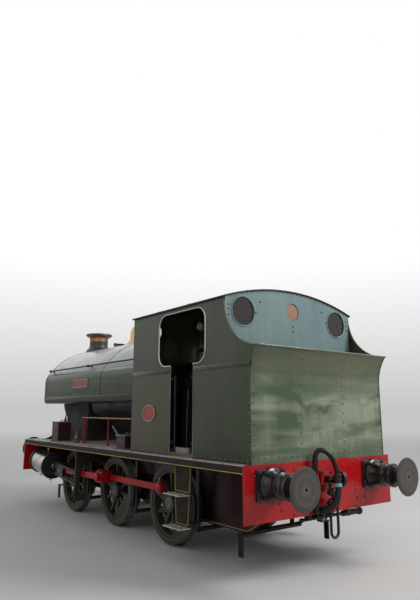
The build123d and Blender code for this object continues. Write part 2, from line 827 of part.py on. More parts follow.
# Mountings on the tank's crown: name, place, profile of radius and height above the crown.
# Each foot runs down past the crown and is trimmed to it.
chimney_profile = (
    (120, 60), (120, 349), (150, 357), (262, 355), (268, 329), (240, 307), (200, 290),
    (186, 268), (186, 120), (200, 70), (240, 30), (300, -mount_foot), (0, -mount_foot), (0, 60),
)
dome_profile = (
    (0, 372), (40, 370), (110, 352), (170, 318), (214, 262), (230, 190), (230, 110),
    (246, 62), (286, 20), (330, -mount_foot), (0, -mount_foot),
)
filler_profile = (
    (lid_r - 12, neck_h), (lid_r - 12, 10), (lid_r + 4, -4), (lid_r + 22, -mount_foot),
    (lid_r - 36, -mount_foot), (lid_r - 36, neck_h),
)
mountings = (
    ("chimney", chimney_at, chimney_profile),
    ("dome", dome_at, dome_profile),
    ("filler_neck", filler_at, filler_profile),
)
for name, at, profile in mountings:
    with BuildPart() as mounting:
        base = Plane(origin=(x_rear + at, 0, crown_z), x_dir=(1, 0, 0), z_dir=(0, -1, 0))
        with BuildSketch(base):
            with BuildLine():
                Polyline(*profile, close=True)
            make_face()
        revolve(axis=Axis((x_rear + at, 0, crown_z), (0, 0, 1)))
        if name == "filler_neck":
            for end in (-neck_lug_at, neck_lug_at):
                with Locations((x_rear + at + end, lid_pin_y, crown_z - 18)):
                    Box(22, 34, 180)
            with Locations((x_rear + at, lid_pin_y, lid_pin_z)):
                Cylinder(lid_pin_r + press, 200, rotation=(0, 90, 0), mode=Mode.SUBTRACT)
        with Locations((x_rear + at, 0, tank_arc_z)):
            Cylinder(tank_arc_r + seat, 2 * tank_half, rotation=(0, 90, 0), mode=Mode.SUBTRACT)
    save(mounting.part, name)

with BuildPart() as tank_lid:
    with Locations((x_rear + filler_at, 0, lid_z + lid_t / 2)):
        Cylinder(lid_r, lid_t)
    with Locations((x_rear + filler_at, 0, lid_z + lid_t + 6)):
        Cylinder(lid_r - 50, 16)
    with Locations((x_rear + filler_at, lid_r - 26, lid_z + lid_t + 12)):
        Box(64, 20, 26)
    for end in (-lid_lug_at, lid_lug_at):
        with Locations((x_rear + filler_at + end, lid_pin_y + 33, lid_pin_z)):
            Box(24, 66, 18)
    with Locations((x_rear + filler_at, lid_pin_y, lid_pin_z)):
        Cylinder(lid_pin_r, 2 * neck_lug_at + 24, rotation=(0, 90, 0))
save(tank_lid.part, "tank_lid")

# Cab and bunker side sheets with doorway, window and the concave sweep up to the roof
side_top = roof_under(cab_half) - 1
sweep_x = x_rear - sweep_out
sweep_l = x_back + sweep_edge - sweep_x
sweep_h = side_top - sweep_drop - bunker_z
flare_r = (flare_out ** 2 + flare_rise ** 2) / (2 * flare_out)
flare_turn = degrees(asin(flare_rise / flare_r))
flare_z = bunker_z - flare_rise
window_top = roof_z - window_drop
window_low = window_top - window_h
for side, label, _ in sides:
    with BuildPart() as cab_side:
        with BuildSketch(side_plane(side, cab_in, cab_half)):
            with BuildLine():
                Line((x_rear, plate_z), (x_rear, flare_z))
                CenterArc((x_rear - flare_r, flare_z), flare_r, 0, flare_turn)
                Line((x_rear - flare_out, bunker_z), (sweep_x, bunker_z))
                EllipticalCenterArc(
                    (sweep_x, bunker_z + sweep_h), sweep_l, sweep_h, start_angle=-90, arc_size=90
                )
                Polyline(
                    (sweep_x + sweep_l, bunker_z + sweep_h),
                    (sweep_x + sweep_l, side_top),
                    (x_cab, side_top),
                    (x_cab, plate_z),
                    (x_rear, plate_z),
                )
            make_face()
            with Locations((x_rear + sum(window_gap) / 2, (window_low + window_top) / 2)):
                RectangleRounded(
                    window_gap[1] - window_gap[0], window_h, window_r, mode=Mode.SUBTRACT
                )
            with Locations((x_rear + sum(door_gap) / 2, (plate_z + window_low) / 2 + 10)):
                Rectangle(door_gap[1] - door_gap[0], window_low - plate_z + 20, mode=Mode.SUBTRACT)
        extrude(amount=sheet)
    save(cab_side.part, f"cab_side_{label}")

with BuildPart() as bunker_rear:
    with BuildSketch(side_plane(1, -cab_in, cab_in)):
        with BuildLine():
            inner_r = flare_r + sheet
            Polyline((x_rear, flare_z), (x_rear, plate_z), (x_rear + sheet, plate_z),
                     (x_rear + sheet, flare_z))
            CenterArc((x_rear - flare_r, flare_z), flare_r, 0, flare_turn)
            CenterArc((x_rear - flare_r, flare_z), inner_r, 0, flare_turn)
            end = (cos(radians(flare_turn)), sin(radians(flare_turn)))
            Line(
                (x_rear - flare_r + flare_r * end[0], flare_z + flare_r * end[1]),
                (x_rear - flare_r + inner_r * end[0], flare_z + inner_r * end[1]),
            )
        make_face()
    extrude(amount=2 * cab_in)
save(bunker_rear.part, "bunker_rear")

# Cab back plate: upright under the roof, then sloping forward to the bunker's front wall
spectacle_y = cab_half - spectacle_in
spectacle_z = roof_z - spectacle_drop
plug_z = roof_z - plug_drop
back_points = (
    (x_back, roof_z + sheet),
    (x_back, bunker_z + back_fold),
    (x_bunker, bunker_z - back_slope),
    (x_bunker, plate_z),
)
with BuildPart() as cab_back:
    with BuildSketch(side_plane(1, -cab_in, cab_in)):
        with BuildLine():
            shifted = [(x + sheet, z) for x, z in reversed(back_points)]
            Polyline(*back_points, *shifted, close=True)
        make_face()
    extrude(amount=2 * cab_in)
    with Locations((x_back, 0, roof_z - roof_r)):
        Cylinder(roof_r - sheet - seat, 2 * roof_r, rotation=(0, 90, 0), mode=Mode.INTERSECT)
    with BuildSketch(Plane.YZ.offset(x_back)):
        with Locations((-spectacle_y, spectacle_z), (spectacle_y, spectacle_z)):
            Circle(spectacle_r)
        with Locations((0, plug_z)):
            Circle(plug_r)
    extrude(amount=x_bunker + sheet - x_back, mode=Mode.SUBTRACT)
save(cab_back.part, "cab_back")

front_window_y = cab_half - front_window_in
front_window_z = roof_z - front_window_drop
with BuildPart() as cab_front:
    with BuildSketch(Plane.YZ.offset(x_cab - sheet)):
        with Locations((0, (plate_z + roof_z) / 2)):
            Rectangle(2 * cab_in, roof_z - plate_z)
        with Locations((0, roof_z - roof_r)):
            Circle(roof_r - sheet - seat, mode=Mode.INTERSECT)
        with Locations((0, boiler_z)):
            Circle(firebox_half + 2, mode=Mode.SUBTRACT)
        with Locations((0, (boiler_z + plate_z) / 2 - 20)):
            Rectangle(2 * firebox_half + 4, boiler_z - plate_z + 40, mode=Mode.SUBTRACT)
        for y in (-front_window_y, front_window_y):
            with Locations((y, front_window_z)):
                Circle(front_window_r, mode=Mode.SUBTRACT)
    extrude(amount=sheet)
save(cab_front.part, "cab_front")

with BuildPart() as cab_roof:
    with BuildSketch(Plane.YZ.offset(x_back - roof_back)):
        with Locations((0, roof_z - roof_r)):
            Circle(roof_r)
            Circle(roof_r - sheet, mode=Mode.SUBTRACT)
        with Locations((0, roof_z)):
            Rectangle(2 * (cab_half + roof_over), roof_r / 2, mode=Mode.INTERSECT)
    extrude(amount=x_cab + roof_front - x_back + roof_back)
save(cab_roof.part, "cab_roof")

with BuildPart() as cab_windows:
    for y in (-spectacle_y, spectacle_y):
        with Locations((x_back + sheet + glass_t / 2, y, spectacle_z)):
            Cylinder(spectacle_r + spectacle_lap, glass_t, rotation=(0, 90, 0))
    for y in (-front_window_y, front_window_y):
        with Locations((x_cab - sheet - glass_t / 2, y, front_window_z)):
            Cylinder(front_window_r + spectacle_lap, glass_t, rotation=(0, 90, 0))
save(cab_windows.part, "cab_windows")

with BuildPart() as cab_back_plug:
    with Locations((x_back + sheet + plug_t / 2, 0, plug_z)):
        Cylinder(plug_r + spectacle_lap, plug_t, rotation=(0, 90, 0))
save(cab_back_plug.part, "cab_back_plug")

with BuildPart() as cab_floor:
    floor_start = x_bunker + sheet
    floor_end = x_rear + firebox_start
    with Locations(((floor_start + floor_end) / 2, 0, plate_z + floor_t / 2)):
        Box(floor_end - floor_start, 2 * cab_in, floor_t)
save(cab_floor.part, "cab_floor")

# Backhead fittings on the firebox's rear face, and the firehole door
x_backhead = x_rear + firebox_start
fire_z = plate_z + fire_door_rise
fire_hinge_x = x_backhead - 30
with BuildPart() as backhead_fittings:
    with Locations((x_backhead - 8, 0, fire_z)):
        Cylinder(fire_door_r + 17, 16, rotation=(0, 90, 0))
    for end in (-110, 110):
        with Locations((fire_hinge_x, fire_hinge_y, fire_z + end)):
            Box(60, 46, 26)
            Cylinder(fire_pin_r + press, 40, mode=Mode.SUBTRACT)
    with Locations((x_backhead - 45, 0, boiler_z + 330)):
        Cylinder(60, 90, rotation=(0, 90, 0))
    with Locations(Location((x_backhead - 78, 0, boiler_z + 330), (35, 0, 0))):
        Box(22, 38, 560)
    for y in (-250, 250):
        for end in (-170, 170):
            with Locations((x_backhead - 40, y, boiler_z + end)):
                Cylinder(26, 80, rotation=(0, 90, 0))
        with Locations((x_backhead - 62, y, boiler_z)):
            Cylinder(16, 340)
    with Locations((x_backhead - 30, 150, boiler_z + 470)):
        Cylinder(20, 60, rotation=(0, 90, 0))
    with Locations((x_backhead - 70, 150, boiler_z + 500)):
        Cylinder(92, 46, rotation=(0, 90, 0))
    for y in (-400, 400):
        with Locations((x_backhead - 50, y, boiler_z + 120)):
            Cylinder(24, 100, rotation=(0, 90, 0))
        with Locations((x_backhead - 106, y, boiler_z + 120)):
            Cylinder(70, 16, rotation=(0, 90, 0))
save(backhead_fittings.part, "backhead_fittings")

with BuildPart() as firehole_door:
    with Locations((x_backhead - 28, 0, fire_z)):
        Cylinder(fire_door_r, 20, rotation=(0, 90, 0))
    with Locations((x_backhead - 40, fire_hinge_y / 2, fire_z)):
        Box(16, -fire_hinge_y, 50)
    with Locations((fire_hinge_x, fire_hinge_y, fire_z)):
        Cylinder(22, 180)
        Cylinder(fire_pin_r, 246)
    with Locations((x_backhead - 58, 110, fire_z)):
        Cylinder(14, 60, rotation=(0, 90, 0))
save(firehole_door.part, "firehole_door")

# Handbrake column and reversing lever on the cab floor
with BuildPart() as cab_controls:
    floor_z = plate_z + floor_t
    column = (x_bunker + 190, brake_column_in - cab_in, floor_z)
    with Locations(column):
        with Locations((0, 0, brake_column_h / 2)):
            Cylinder(brake_column_r, brake_column_h)
        with Locations((0, 0, 15)):
            Cylinder(90, 30)
        with Locations((0, 0, brake_column_h + 40)):
            Cylinder(16, 100)
        with Locations((0, 0, brake_column_h + 80)):
            Box(26, brake_column_h / 2, 26)
    reverser = (x_cab - 640, reverser_in - cab_in, floor_z)
    with Locations(reverser):
        with Locations((0, 0, 30)):
            Box(420, 60, 60)
        with Locations(Location((0, 0, reverser_h / 2 + 40), (0, -12, 0))):
            Box(60, 22, reverser_h)
save(cab_controls.part, "cab_controls")

# Boxes on the running plate: sandboxes in front, toolboxes by the cab
plate_boxes_table = (
    # place, centre in from the plate's edge, length, width, height
    (5350, 260, 280, 240, 330),
    (2850, 235, 250, 210, 185),
)
with BuildPart() as plate_boxes:
    for at, inset, length, width, height in plate_boxes_table:
        y = beam_half - inset
        for side in (1, -1):
            with Locations((x_rear + at, side * y, plate_z + height / 2)):
                Box(length, width, height)
            with Locations((x_rear + at, side * y, plate_z + height + 8)):
                Box(length + 30, width + 30, 16)
            with Locations((x_rear + at, side * y, plate_z + 10)):
                Box(length + 30, width + 30, 20)
save(plate_boxes.part, "plate_boxes")

# Upright rods, delivery pipe, valve and lever on the running plate under the tank
fitting_y = beam_half - fitting_in
fitting_top = plate_z + fitting_h
rod_places = (3620, 4510)
pipe_end = x_rear + rod_places[-1] + pipe_past
valve_profile = (
    (0, 0), (52, 0), (52, 14), (30, 20), (30, 52), (46, 66), (46, 104), (24, 116),
    (24, 150), (34, 156), (34, 172), (12, 178), (12, 205), (0, 205),
)
with BuildPart() as footplate_fittings:
    for at in rod_places:
        with Locations((x_rear + at, fitting_y, (plate_z + fitting_top) / 2)):
            Cylinder(fitting_rod_r, fitting_h)
    with Locations(((x_cab + pipe_end) / 2, fitting_y, fitting_top)):
        Cylinder(fitting_pipe_r, pipe_end - x_cab, rotation=(0, 90, 0))
    valve_base = (x_rear + valve_at, fitting_y + valve_out, plate_z)
    with BuildSketch(Plane(origin=valve_base, x_dir=(1, 0, 0), z_dir=(0, -1, 0))):
        with BuildLine():
            Polyline(*valve_profile, close=True)
        make_face()
    revolve(axis=Axis(valve_base, (0, 0, 1)))
    side_pipe_y = fitting_y + valve_out - valve_pipe_l / 2
    with Locations((x_rear + valve_at, side_pipe_y, plate_z + valve_pipe_h)):
        Cylinder(valve_pipe_r, valve_pipe_l, rotation=(90, 0, 0))
    lever_z = plate_z + 20 + lever_length / 2 * sin(radians(lever_slope))
    with Locations(Location((x_rear + lever_at, fitting_y, lever_z), (0, -lever_slope, 0))):
        Box(lever_length, lever_t, lever_w)
    with Locations((x_rear + lever_at - 175, fitting_y, plate_z + 30)):
        Box(90, 50, 60)
    mirror(about=Plane.XZ)
save(footplate_fittings.part, "footplate_fittings")

# Handrails: along the tank and upright in the doorways
tank_rail_z = shoulder_z + tank_rail_rise
tank_side_y = sqrt(tank_arc_r ** 2 - (tank_rail_z - tank_arc_z) ** 2)
tank_rail_y = tank_side_y + tank_rail_out
rail_start = x_cab + 30
rail_end = x_rear + tank_end - 120
with BuildPart() as tank_handrails:
    with Locations(((rail_start + rail_end) / 2, tank_rail_y, tank_rail_z)):
        Cylinder(rail_r, rail_end - rail_start, rotation=(0, 90, 0))
    for i in range(3):
        knob_x = rail_start + 60 + i * (rail_end - rail_start - 120) / 2
        with Locations((knob_x, tank_rail_y, tank_rail_z)):
            Sphere(rail_knob_r, rotation=(0, 90, 0))
        with Locations((knob_x, tank_rail_y - tank_rail_out / 2, tank_rail_z)):
            Cylinder(rail_knob_r / 2, tank_rail_out + 20, rotation=(90, 0, 0))
    with Locations(((rail_start + rail_end) / 2, 0, tank_arc_z)):
        Cylinder(tank_arc_r + seat, rail_end - rail_start, rotation=(0, 90, 0), mode=Mode.SUBTRACT)
    mirror(about=Plane.XZ)
save(tank_handrails.part, "tank_handrails")

with BuildPart() as doorway_rails:
    rail_y = cab_in - door_rail_off
    for edge, inward in ((door_gap[0], 1), (door_gap[1], -1)):
        rail_x = x_rear + edge + inward * door_rail_in
        with Locations((rail_x, rail_y, floor_z + door_rail_h / 2)):
            Cylinder(door_rail_r, door_rail_h)
        for z in (floor_z + 120, floor_z + door_rail_h - 40):
            with Locations((rail_x - inward * 45, rail_y + door_rail_off / 2, z)):
                Box(90, door_rail_off, 22)
    mirror(about=Plane.XZ)
save(doorway_rails.part, "doorway_rails")

# Steps under the doorways
step_at = sum(door_gap) / 2
step_y = beam_half - step_in
with BuildPart() as cab_steps:
    with BuildSketch(side_plane(1, step_y, step_y + step_t, x_rear + step_at, rail_z)):
        with BuildLine():
            Polyline(
                (-step_root_half, under_z - rail_z), (step_root_half, under_z - rail_z),
                (step_high_half, step_high), (step_low_half, step_low),
                (-step_low_half, step_low), (-step_high_half, step_high), close=True,
            )
        make_face()
    extrude(amount=step_t)
    for z in (rail_z + step_high, rail_z + step_low):
        with Locations((x_rear + step_at, step_y + step_t + step_w / 2, z + tread_t / 2)):
            Box(step_l, step_w, tread_t)
    with Locations((x_rear + step_at, (step_y + frame_out) / 2, rail_z + step_low + 23)):
        Box(50, step_y - frame_out, 14)
    mirror(about=Plane.XZ)
save(cab_steps.part, "cab_steps")

# Brake gear: shoe, hanger and cross beam behind each pair of wheels, with pull rods
shoe_near = back_half + shoe_in
hanger_off = tyre_r + shoe_gap + shoe_t + brake_hanger_back
hanger_y = shoe_near + shoe_w / 2
hanger_near = hanger_y - brake_hanger_t / 2
hanger_pin_z = rail_z + brake_hanger_top
hanger_mid = hanger_pin_z + brake_hanger_w / 2 - brake_hanger_h / 2
brake_z = rail_z + brake_beam_h
with BuildPart() as brake_gear:
    for x in axles:
        for side in (1, -1):
            with BuildSketch(side_plane(side, shoe_near, shoe_near + shoe_w, x, axle_z)):
                Circle(tyre_r + shoe_gap + shoe_t)
                Circle(tyre_r + shoe_gap, mode=Mode.SUBTRACT)
                with Locations((-tyre_r - shoe_gap, 0)):
                    Rectangle(4 * shoe_t, shoe_h, mode=Mode.INTERSECT)
            extrude(amount=shoe_w)
            with BuildSketch(side_plane(side, hanger_near, hanger_near + brake_hanger_t, x)):
                with Locations((-hanger_off, hanger_mid)):
                    SlotOverall(brake_hanger_h, brake_hanger_w, rotation=90)
            extrude(amount=brake_hanger_t)
            with Locations((x - hanger_off, side * (frame_out + hanger_y + 20) / 2, hanger_pin_z)):
                Cylinder(24, hanger_y + 20 - frame_out, rotation=(90, 0, 0))
        with Locations((x - hanger_off, 0, brake_z)):
            Cylinder(brake_beam_r, 2 * hanger_y + 50, rotation=(90, 0, 0))
    pull_start = axles[0] - hanger_off - brake_shaft_back
    pull_end = axles[-1] - hanger_off
    with Locations(((pull_start + pull_end) / 2, 0, brake_z)):
        Box(pull_end - pull_start, 50, 26)
    with Locations((pull_start, 0, brake_z)):
        Cylinder(brake_shaft_r, 2 * frame_in - 200, rotation=(90, 0, 0))
    for y in (-brake_arm_y, brake_arm_y):
        with Locations((pull_start, y, brake_z + brake_arm_h / 2 - 10)):
            Box(2 * brake_shaft_r, 20, brake_arm_h)
save(brake_gear.part, "brake_gear")

# Motion brackets and slide bars, four bars a side, and the inclined cylinders
bracket_far = bar_far + bracket_over
line_z = axle_z + (x_rear + bracket_at - drive_x) * sin(slope) / cos(slope)
with BuildPart() as motion_brackets:
    with BuildSketch(Plane.YZ.offset(x_rear + bracket_at)):
        bracket_low = rail_z + bracket_h
        with Locations(((frame_out + bracket_far) / 2, (under_z + bracket_low) / 2)):
            Rectangle(bracket_far - frame_out, under_z - bracket_low)
        rod_window_z = axle_z + crank_throw + rod_eye_r + 10
        with Locations(((frame_out + rod_out + 12) / 2, (rod_window_z + bracket_low) / 2 - 50)):
            Rectangle(rod_out + 12 - frame_out, rod_window_z - bracket_low + 100,
                      mode=Mode.SUBTRACT)
        with Locations((cyl_y, line_z)):
            Rectangle(con_t + 1.5 * bar_clear, bracket_slot, mode=Mode.SUBTRACT)
    extrude(amount=bracket_t)
    mirror(about=Plane.XZ)
save(motion_brackets.part, "motion_brackets")

bar_start = (x_rear + bracket_at + bracket_t - drive_x) / cos(slope) + 12
bar_end = cyl_start - bar_end_gap
with BuildPart() as slide_bars:
    for near in (bar_near, bar_far - bar_w):
        with BuildSketch(motion_plane(1, near, near + bar_w)):
            for up in (-1, 1):
                with Locations(((bar_start + bar_end) / 2, up * (bar_gap + bar_h) / 2)):
                    Rectangle(bar_end - bar_start, bar_h)
        extrude(amount=bar_w)
    mirror(about=Plane.XZ)
save(slide_bars.part, "slide_bars")

cyl_plane = Plane(
    origin=(drive_x + cyl_start * cos(slope), cyl_y, axle_z + cyl_start * sin(slope)),
    x_dir=(0, 1, 0),
    z_dir=(cos(slope), 0, sin(slope)),
)
# start along the axis, length, radius
cylinder_rings = (
    (-bar_end_gap, bar_end_gap, cyl_r - 34),
    (0, cyl_flange_t, cyl_flange_r),
    (cyl_flange_t, cyl_length - 2 * cyl_flange_t, cyl_r),
    (cyl_length - cyl_flange_t, cyl_flange_t, cyl_flange_r),
    (cyl_length, 24, cyl_r - 30),
    (cyl_length + 24, 18, 70),
)
with BuildPart() as cylinders:
    for start, length, radius in cylinder_rings:
        with BuildSketch(cyl_plane.offset(start)):
            Circle(radius)
        extrude(amount=length)
    with BuildSketch(cyl_plane.offset(40)):
        with Locations(((frame_out - cyl_y) / 2 - 30, 20)):
            Rectangle(cyl_y - frame_out - 60, block_h)
        with Locations(((frame_out - cyl_y) / 2, 20)):
            Rectangle(cyl_y - frame_out, block_foot_h)
    extrude(amount=cyl_length - 80)
    with Locations((drive_x + cyl_start + cyl_length / 2, frame_out - cyl_r / 2, axle_z)):
        Box(2 * cyl_length, cyl_r, 6 * cyl_r, mode=Mode.SUBTRACT)
    with BuildSketch(cyl_plane.offset(-bar_end_gap)):
        Circle(piston_rod_r + 2 * press)
    extrude(amount=bar_end_gap + piston_entry + 2 * crank_throw + 20, mode=Mode.SUBTRACT)
    mirror(about=Plane.XZ)
save(cylinders.part, "cylinders")

# Buffers
# start from the beam's face, length, first radius, last radius
housing_rings = ((buffer_base_t, 250, 150, 122), (276, 44, 134, 134), (320, 22, 112, 112))
with BuildPart() as buffer_housings:
    for side in (1, -1):
        face = Plane(origin=(x_rear, side * buffer_y, buffer_z), x_dir=(0, 1, 0), z_dir=(-1, 0, 0))
        with BuildSketch(face):
            Rectangle(buffer_base_w, buffer_base_h)
        extrude(amount=buffer_base_t)
        for start, length, first, last in housing_rings:
            with BuildSketch(face.offset(start)):
                Circle(first)
            with BuildSketch(face.offset(start + length)):
                Circle(last)
            loft()
    mirror(about=Plane.YZ)
save(buffer_housings.part, "buffer_housings")

head_profile = (
    (342, 0), (342, buffer_shank_r), (buffer_reach - 52, buffer_shank_r),
    (buffer_reach - 40, buffer_shank_r + 30),
    (buffer_reach - 30, buffer_head_r - 8), (buffer_reach - 18, buffer_head_r),
    (buffer_reach - 12, buffer_head_r - 6), (buffer_reach, 70), (buffer_reach, 16),
    (buffer_reach - 40, 16), (buffer_reach - 40, 0),
)
with BuildPart() as buffer_heads:
    for side in (1, -1):
        origin = (x_rear, side * buffer_y, buffer_z)
        with BuildSketch(Plane(origin=origin, x_dir=(-1, 0, 0), z_dir=(0, 1, 0))):
            with BuildLine():
                Polyline(*head_profile, close=True)
            make_face()
        revolve(axis=Axis(origin, (-1, 0, 0)))
    mirror(about=Plane.YZ)
save(buffer_heads.part, "buffer_heads")

# Drawhooks with their screw couplings
hook_z = buffer_z - hook_low
with BuildPart() as drawhooks:
    origin = (x_rear, -hook_t / 2, hook_z)
    with BuildSketch(Plane(origin=origin, x_dir=(-1, 0, 0), z_dir=(0, 1, 0))):
        with Locations((hook_out / 2, 0)):
            Rectangle(hook_out, 66)
        with Locations((hook_out, 18)):
            Circle(hook_r)
            Circle(hook_throat_r, mode=Mode.SUBTRACT)
        with Locations((hook_out - 50, 80)):
            Rectangle(90, 90, mode=Mode.SUBTRACT)
        with Locations((shackle_out, 0)):
            Circle(shackle_r, mode=Mode.SUBTRACT)
    extrude(amount=hook_t)
    with Locations((x_rear - hook_plate_t / 2, 0, hook_z)):
        Box(hook_plate_t, hook_plate, hook_plate)
    mirror(about=Plane.YZ)
save(drawhooks.part, "drawhooks")

shackle_x = x_rear - shackle_out
screw_top = hook_z - screw_drop
screw_low = screw_top - screw_h
link_low = rail_z + link_h
with BuildPart() as screw_couplings:
    with Locations((shackle_x, 0, hook_z)):
        Cylinder(shackle_r - seat, 2 * link_y + 60, rotation=(90, 0, 0))
    for y in (-link_y, link_y):
        with Locations((shackle_x, y, (hook_z + screw_top) / 2)):
            Cylinder(link_r, hook_z - screw_top)
        with Locations((shackle_x, y, screw_top), (shackle_x, y, screw_low)):
            Sphere(2 * link_r + 1)
    with Locations((shackle_x, 0, screw_top), (shackle_x, 0, screw_low)):
        Cylinder(27, 2 * link_y, rotation=(90, 0, 0))
    with Locations((shackle_x, 0, (screw_top + screw_low) / 2 - 20)):
        Cylinder(screw_r, screw_h + 90)
    with Locations(Location((shackle_x - 30, 0, (screw_top + screw_low) / 2), (0, 60, 0))):
        Cylinder(11, 260)
    with BuildLine() as loop:
        Line((shackle_x, link_y, screw_low), (shackle_x, link_y, link_low + link_y))
        ThreePointArc(
            (shackle_x, link_y, link_low + link_y),
            (shackle_x, 0, link_low),
            (shackle_x, -link_y, link_low + link_y),
        )
        Line((shackle_x, -link_y, link_low + link_y), (shackle_x, -link_y, screw_low))
    with BuildSketch(Plane(origin=loop.line @ 0, z_dir=loop.line % 0)):
        Circle(link_r)
    sweep(path=loop.line)
    mirror(about=Plane.YZ)
save(screw_couplings.part, "screw_couplings")

# Brake pipes on the beams: a swan neck up and over, then a hose back to its rest.
# Points: out from the beam's face, sideways, above the rail
pipe_points = ((66, 240, 600), (66, 240, 1262), (210, 88, 1262), (232, 72, 950))
hose_points = (
    (232, 72, 950),
    (238.6, 67.2, 856.4),
    (222, 84, 762),
    (178, 120, 676),
    (118, 152, 636),
    (64, 166, 624),
)


def beam_points(points):
    return [Vector(x_rear - out, y, rail_z + z) for out, y, z in points]


def bends(route):
    """Bend radii that leave 0.45 of the shorter run on each side of a point."""
    runs = [b - a for a, b in zip(route, route[1:])]
    return [
        0.45 * min(a.length, b.length) / tan(radians(a.get_angle(b)) / 2)
        for a, b in zip(runs, runs[1:])
    ]


hose_route = beam_points(hose_points)
rest_way = hose_route[-1] - hose_route[-2]
with BuildPart() as brake_pipes:
    pipe_route = beam_points(pipe_points)
    with BuildLine() as pipe_line:
        FilletPolyline(*pipe_route, radius=pipe_bend)
    with BuildSketch(Plane(origin=pipe_line.line @ 0, z_dir=pipe_line.line % 0)):
        Circle(pipe_r)
    sweep(path=pipe_line.line)
    with BuildSketch(Plane(origin=pipe_line.line @ 1, z_dir=-(pipe_line.line % 1))):
        Circle(hose_r + hose_clip)
    extrude(amount=70)
    for z in (rail_z + 700, rail_z + 1060):
        with Locations((x_rear - 33, pipe_points[0][1], z)):
            Box(66, 64, 34)
    with BuildSketch(Plane(origin=hose_route[-1], z_dir=rest_way)):
        Circle(hose_r + hose_clip)
    extrude(amount=36)
    with Locations((x_rear - 14, hose_points[-1][1] + 6, rail_z + hose_points[-1][2] - 6)):
        Box(28, 60, 60)
    mirror(about=Plane.YZ)
save(brake_pipes.part, "brake_pipes")

with BuildPart() as brake_hoses:
    with BuildLine() as hose_line:
        FilletPolyline(*hose_route, radius=bends(hose_route))
    with BuildSketch(Plane(origin=hose_line.line @ 0, z_dir=hose_line.line % 0)):
        Circle(hose_r)
    sweep(path=hose_line.line)
    mirror(about=Plane.YZ)
save(brake_hoses.part, "brake_hoses")
hose_length = hose_line.wires()[0].length
print("hose bend radii", [round(r) for r in bends(hose_route)], "length", round(hose_length))
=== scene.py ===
from math import asin, atan2, cos, pi, radians, sin, sqrt, tan

import bmesh
import bpy
from mathutils import Matrix, Vector


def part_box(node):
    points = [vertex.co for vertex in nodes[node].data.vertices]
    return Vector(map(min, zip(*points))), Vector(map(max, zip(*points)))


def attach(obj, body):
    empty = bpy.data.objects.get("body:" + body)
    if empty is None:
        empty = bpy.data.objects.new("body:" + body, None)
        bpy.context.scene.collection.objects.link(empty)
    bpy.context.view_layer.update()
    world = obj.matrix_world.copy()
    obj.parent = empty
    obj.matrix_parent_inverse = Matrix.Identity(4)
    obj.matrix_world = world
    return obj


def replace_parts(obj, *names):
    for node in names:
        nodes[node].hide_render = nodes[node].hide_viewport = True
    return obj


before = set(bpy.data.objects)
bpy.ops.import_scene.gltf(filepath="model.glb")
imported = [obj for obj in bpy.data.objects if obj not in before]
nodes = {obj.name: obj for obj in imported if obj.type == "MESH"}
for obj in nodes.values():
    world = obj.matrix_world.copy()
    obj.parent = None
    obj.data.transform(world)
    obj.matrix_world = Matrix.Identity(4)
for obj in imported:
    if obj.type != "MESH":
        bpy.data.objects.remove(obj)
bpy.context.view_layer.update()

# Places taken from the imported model, in metres: X forward, Y left, Z up from the rail's top
beam_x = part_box("buffer_beams")[0].x
plate_lo, plate_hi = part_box("running_plate")
plate_z, plate_y = plate_hi.z, plate_hi.y
cab_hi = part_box("cab_side_left")[1]
cab_x, side_y = cab_hi.x, cab_hi.y
tank_lo, tank_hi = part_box("saddle_tank")
tank_y = tank_hi.y
axle_z = sum(v.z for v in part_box("axle_rear")) / 2
axle_x = [sum(v.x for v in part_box(f"axle_{n}")) / 2 for n in ("rear", "driving", "front")]
axle_x[1] = (axle_x[0] + axle_x[2]) / 2

# Places and sizes of the construction that the boxes don't give
beam_face = 3.25
buffer_y, buffer_z = 0.87, 0.973
hook_z = 0.965
slope = radians(5.7)
motion_y = 0.97
cylinder_start, cylinder_length = 2.09, 0.64
firehole_rise, firehole_r = 0.33, 0.15
crank_throw, rod_length = 0.254, 1.5
crank_angles = {"left": radians(48), "right": radians(-42)}
SIDES = ((1, "left"), (-1, "right"))
BOTH = (1, -1)
ENDS = (-1, 1)
UP = (0, 0, 1)
BACK = (-1, 0, 0)


def along(a):
    """X of a place a metres forward of the rear beam's face."""
    return beam_x + a


# Camera, at the photograph's place
def look_matrix(place, yaw, pitch, roll):
    forward = Vector((cos(pitch) * cos(yaw), cos(pitch) * sin(yaw), sin(pitch)))
    right = Vector((sin(yaw), -cos(yaw), 0))
    up = right.cross(forward)
    across = right * cos(roll) + up * sin(roll)
    over = up * cos(roll) - right * sin(roll)
    turn = Matrix((across, over, -forward)).transposed().to_4x4()
    return Matrix.Translation(place) @ turn


def in_scene(name, data):
    made = bpy.data.objects.new(name, data)
    bpy.context.scene.collection.objects.link(made)
    return made


camera = in_scene("camera", bpy.data.cameras.new("camera"))
camera.data.lens = 31.793
camera.data.sensor_width = 36
camera.data.clip_end = 500
camera.matrix_world = look_matrix(
    (-7.4433, 4.8912, 1.722), radians(-37.607), radians(11.799), radians(0.09)
)
bpy.context.scene.camera = camera


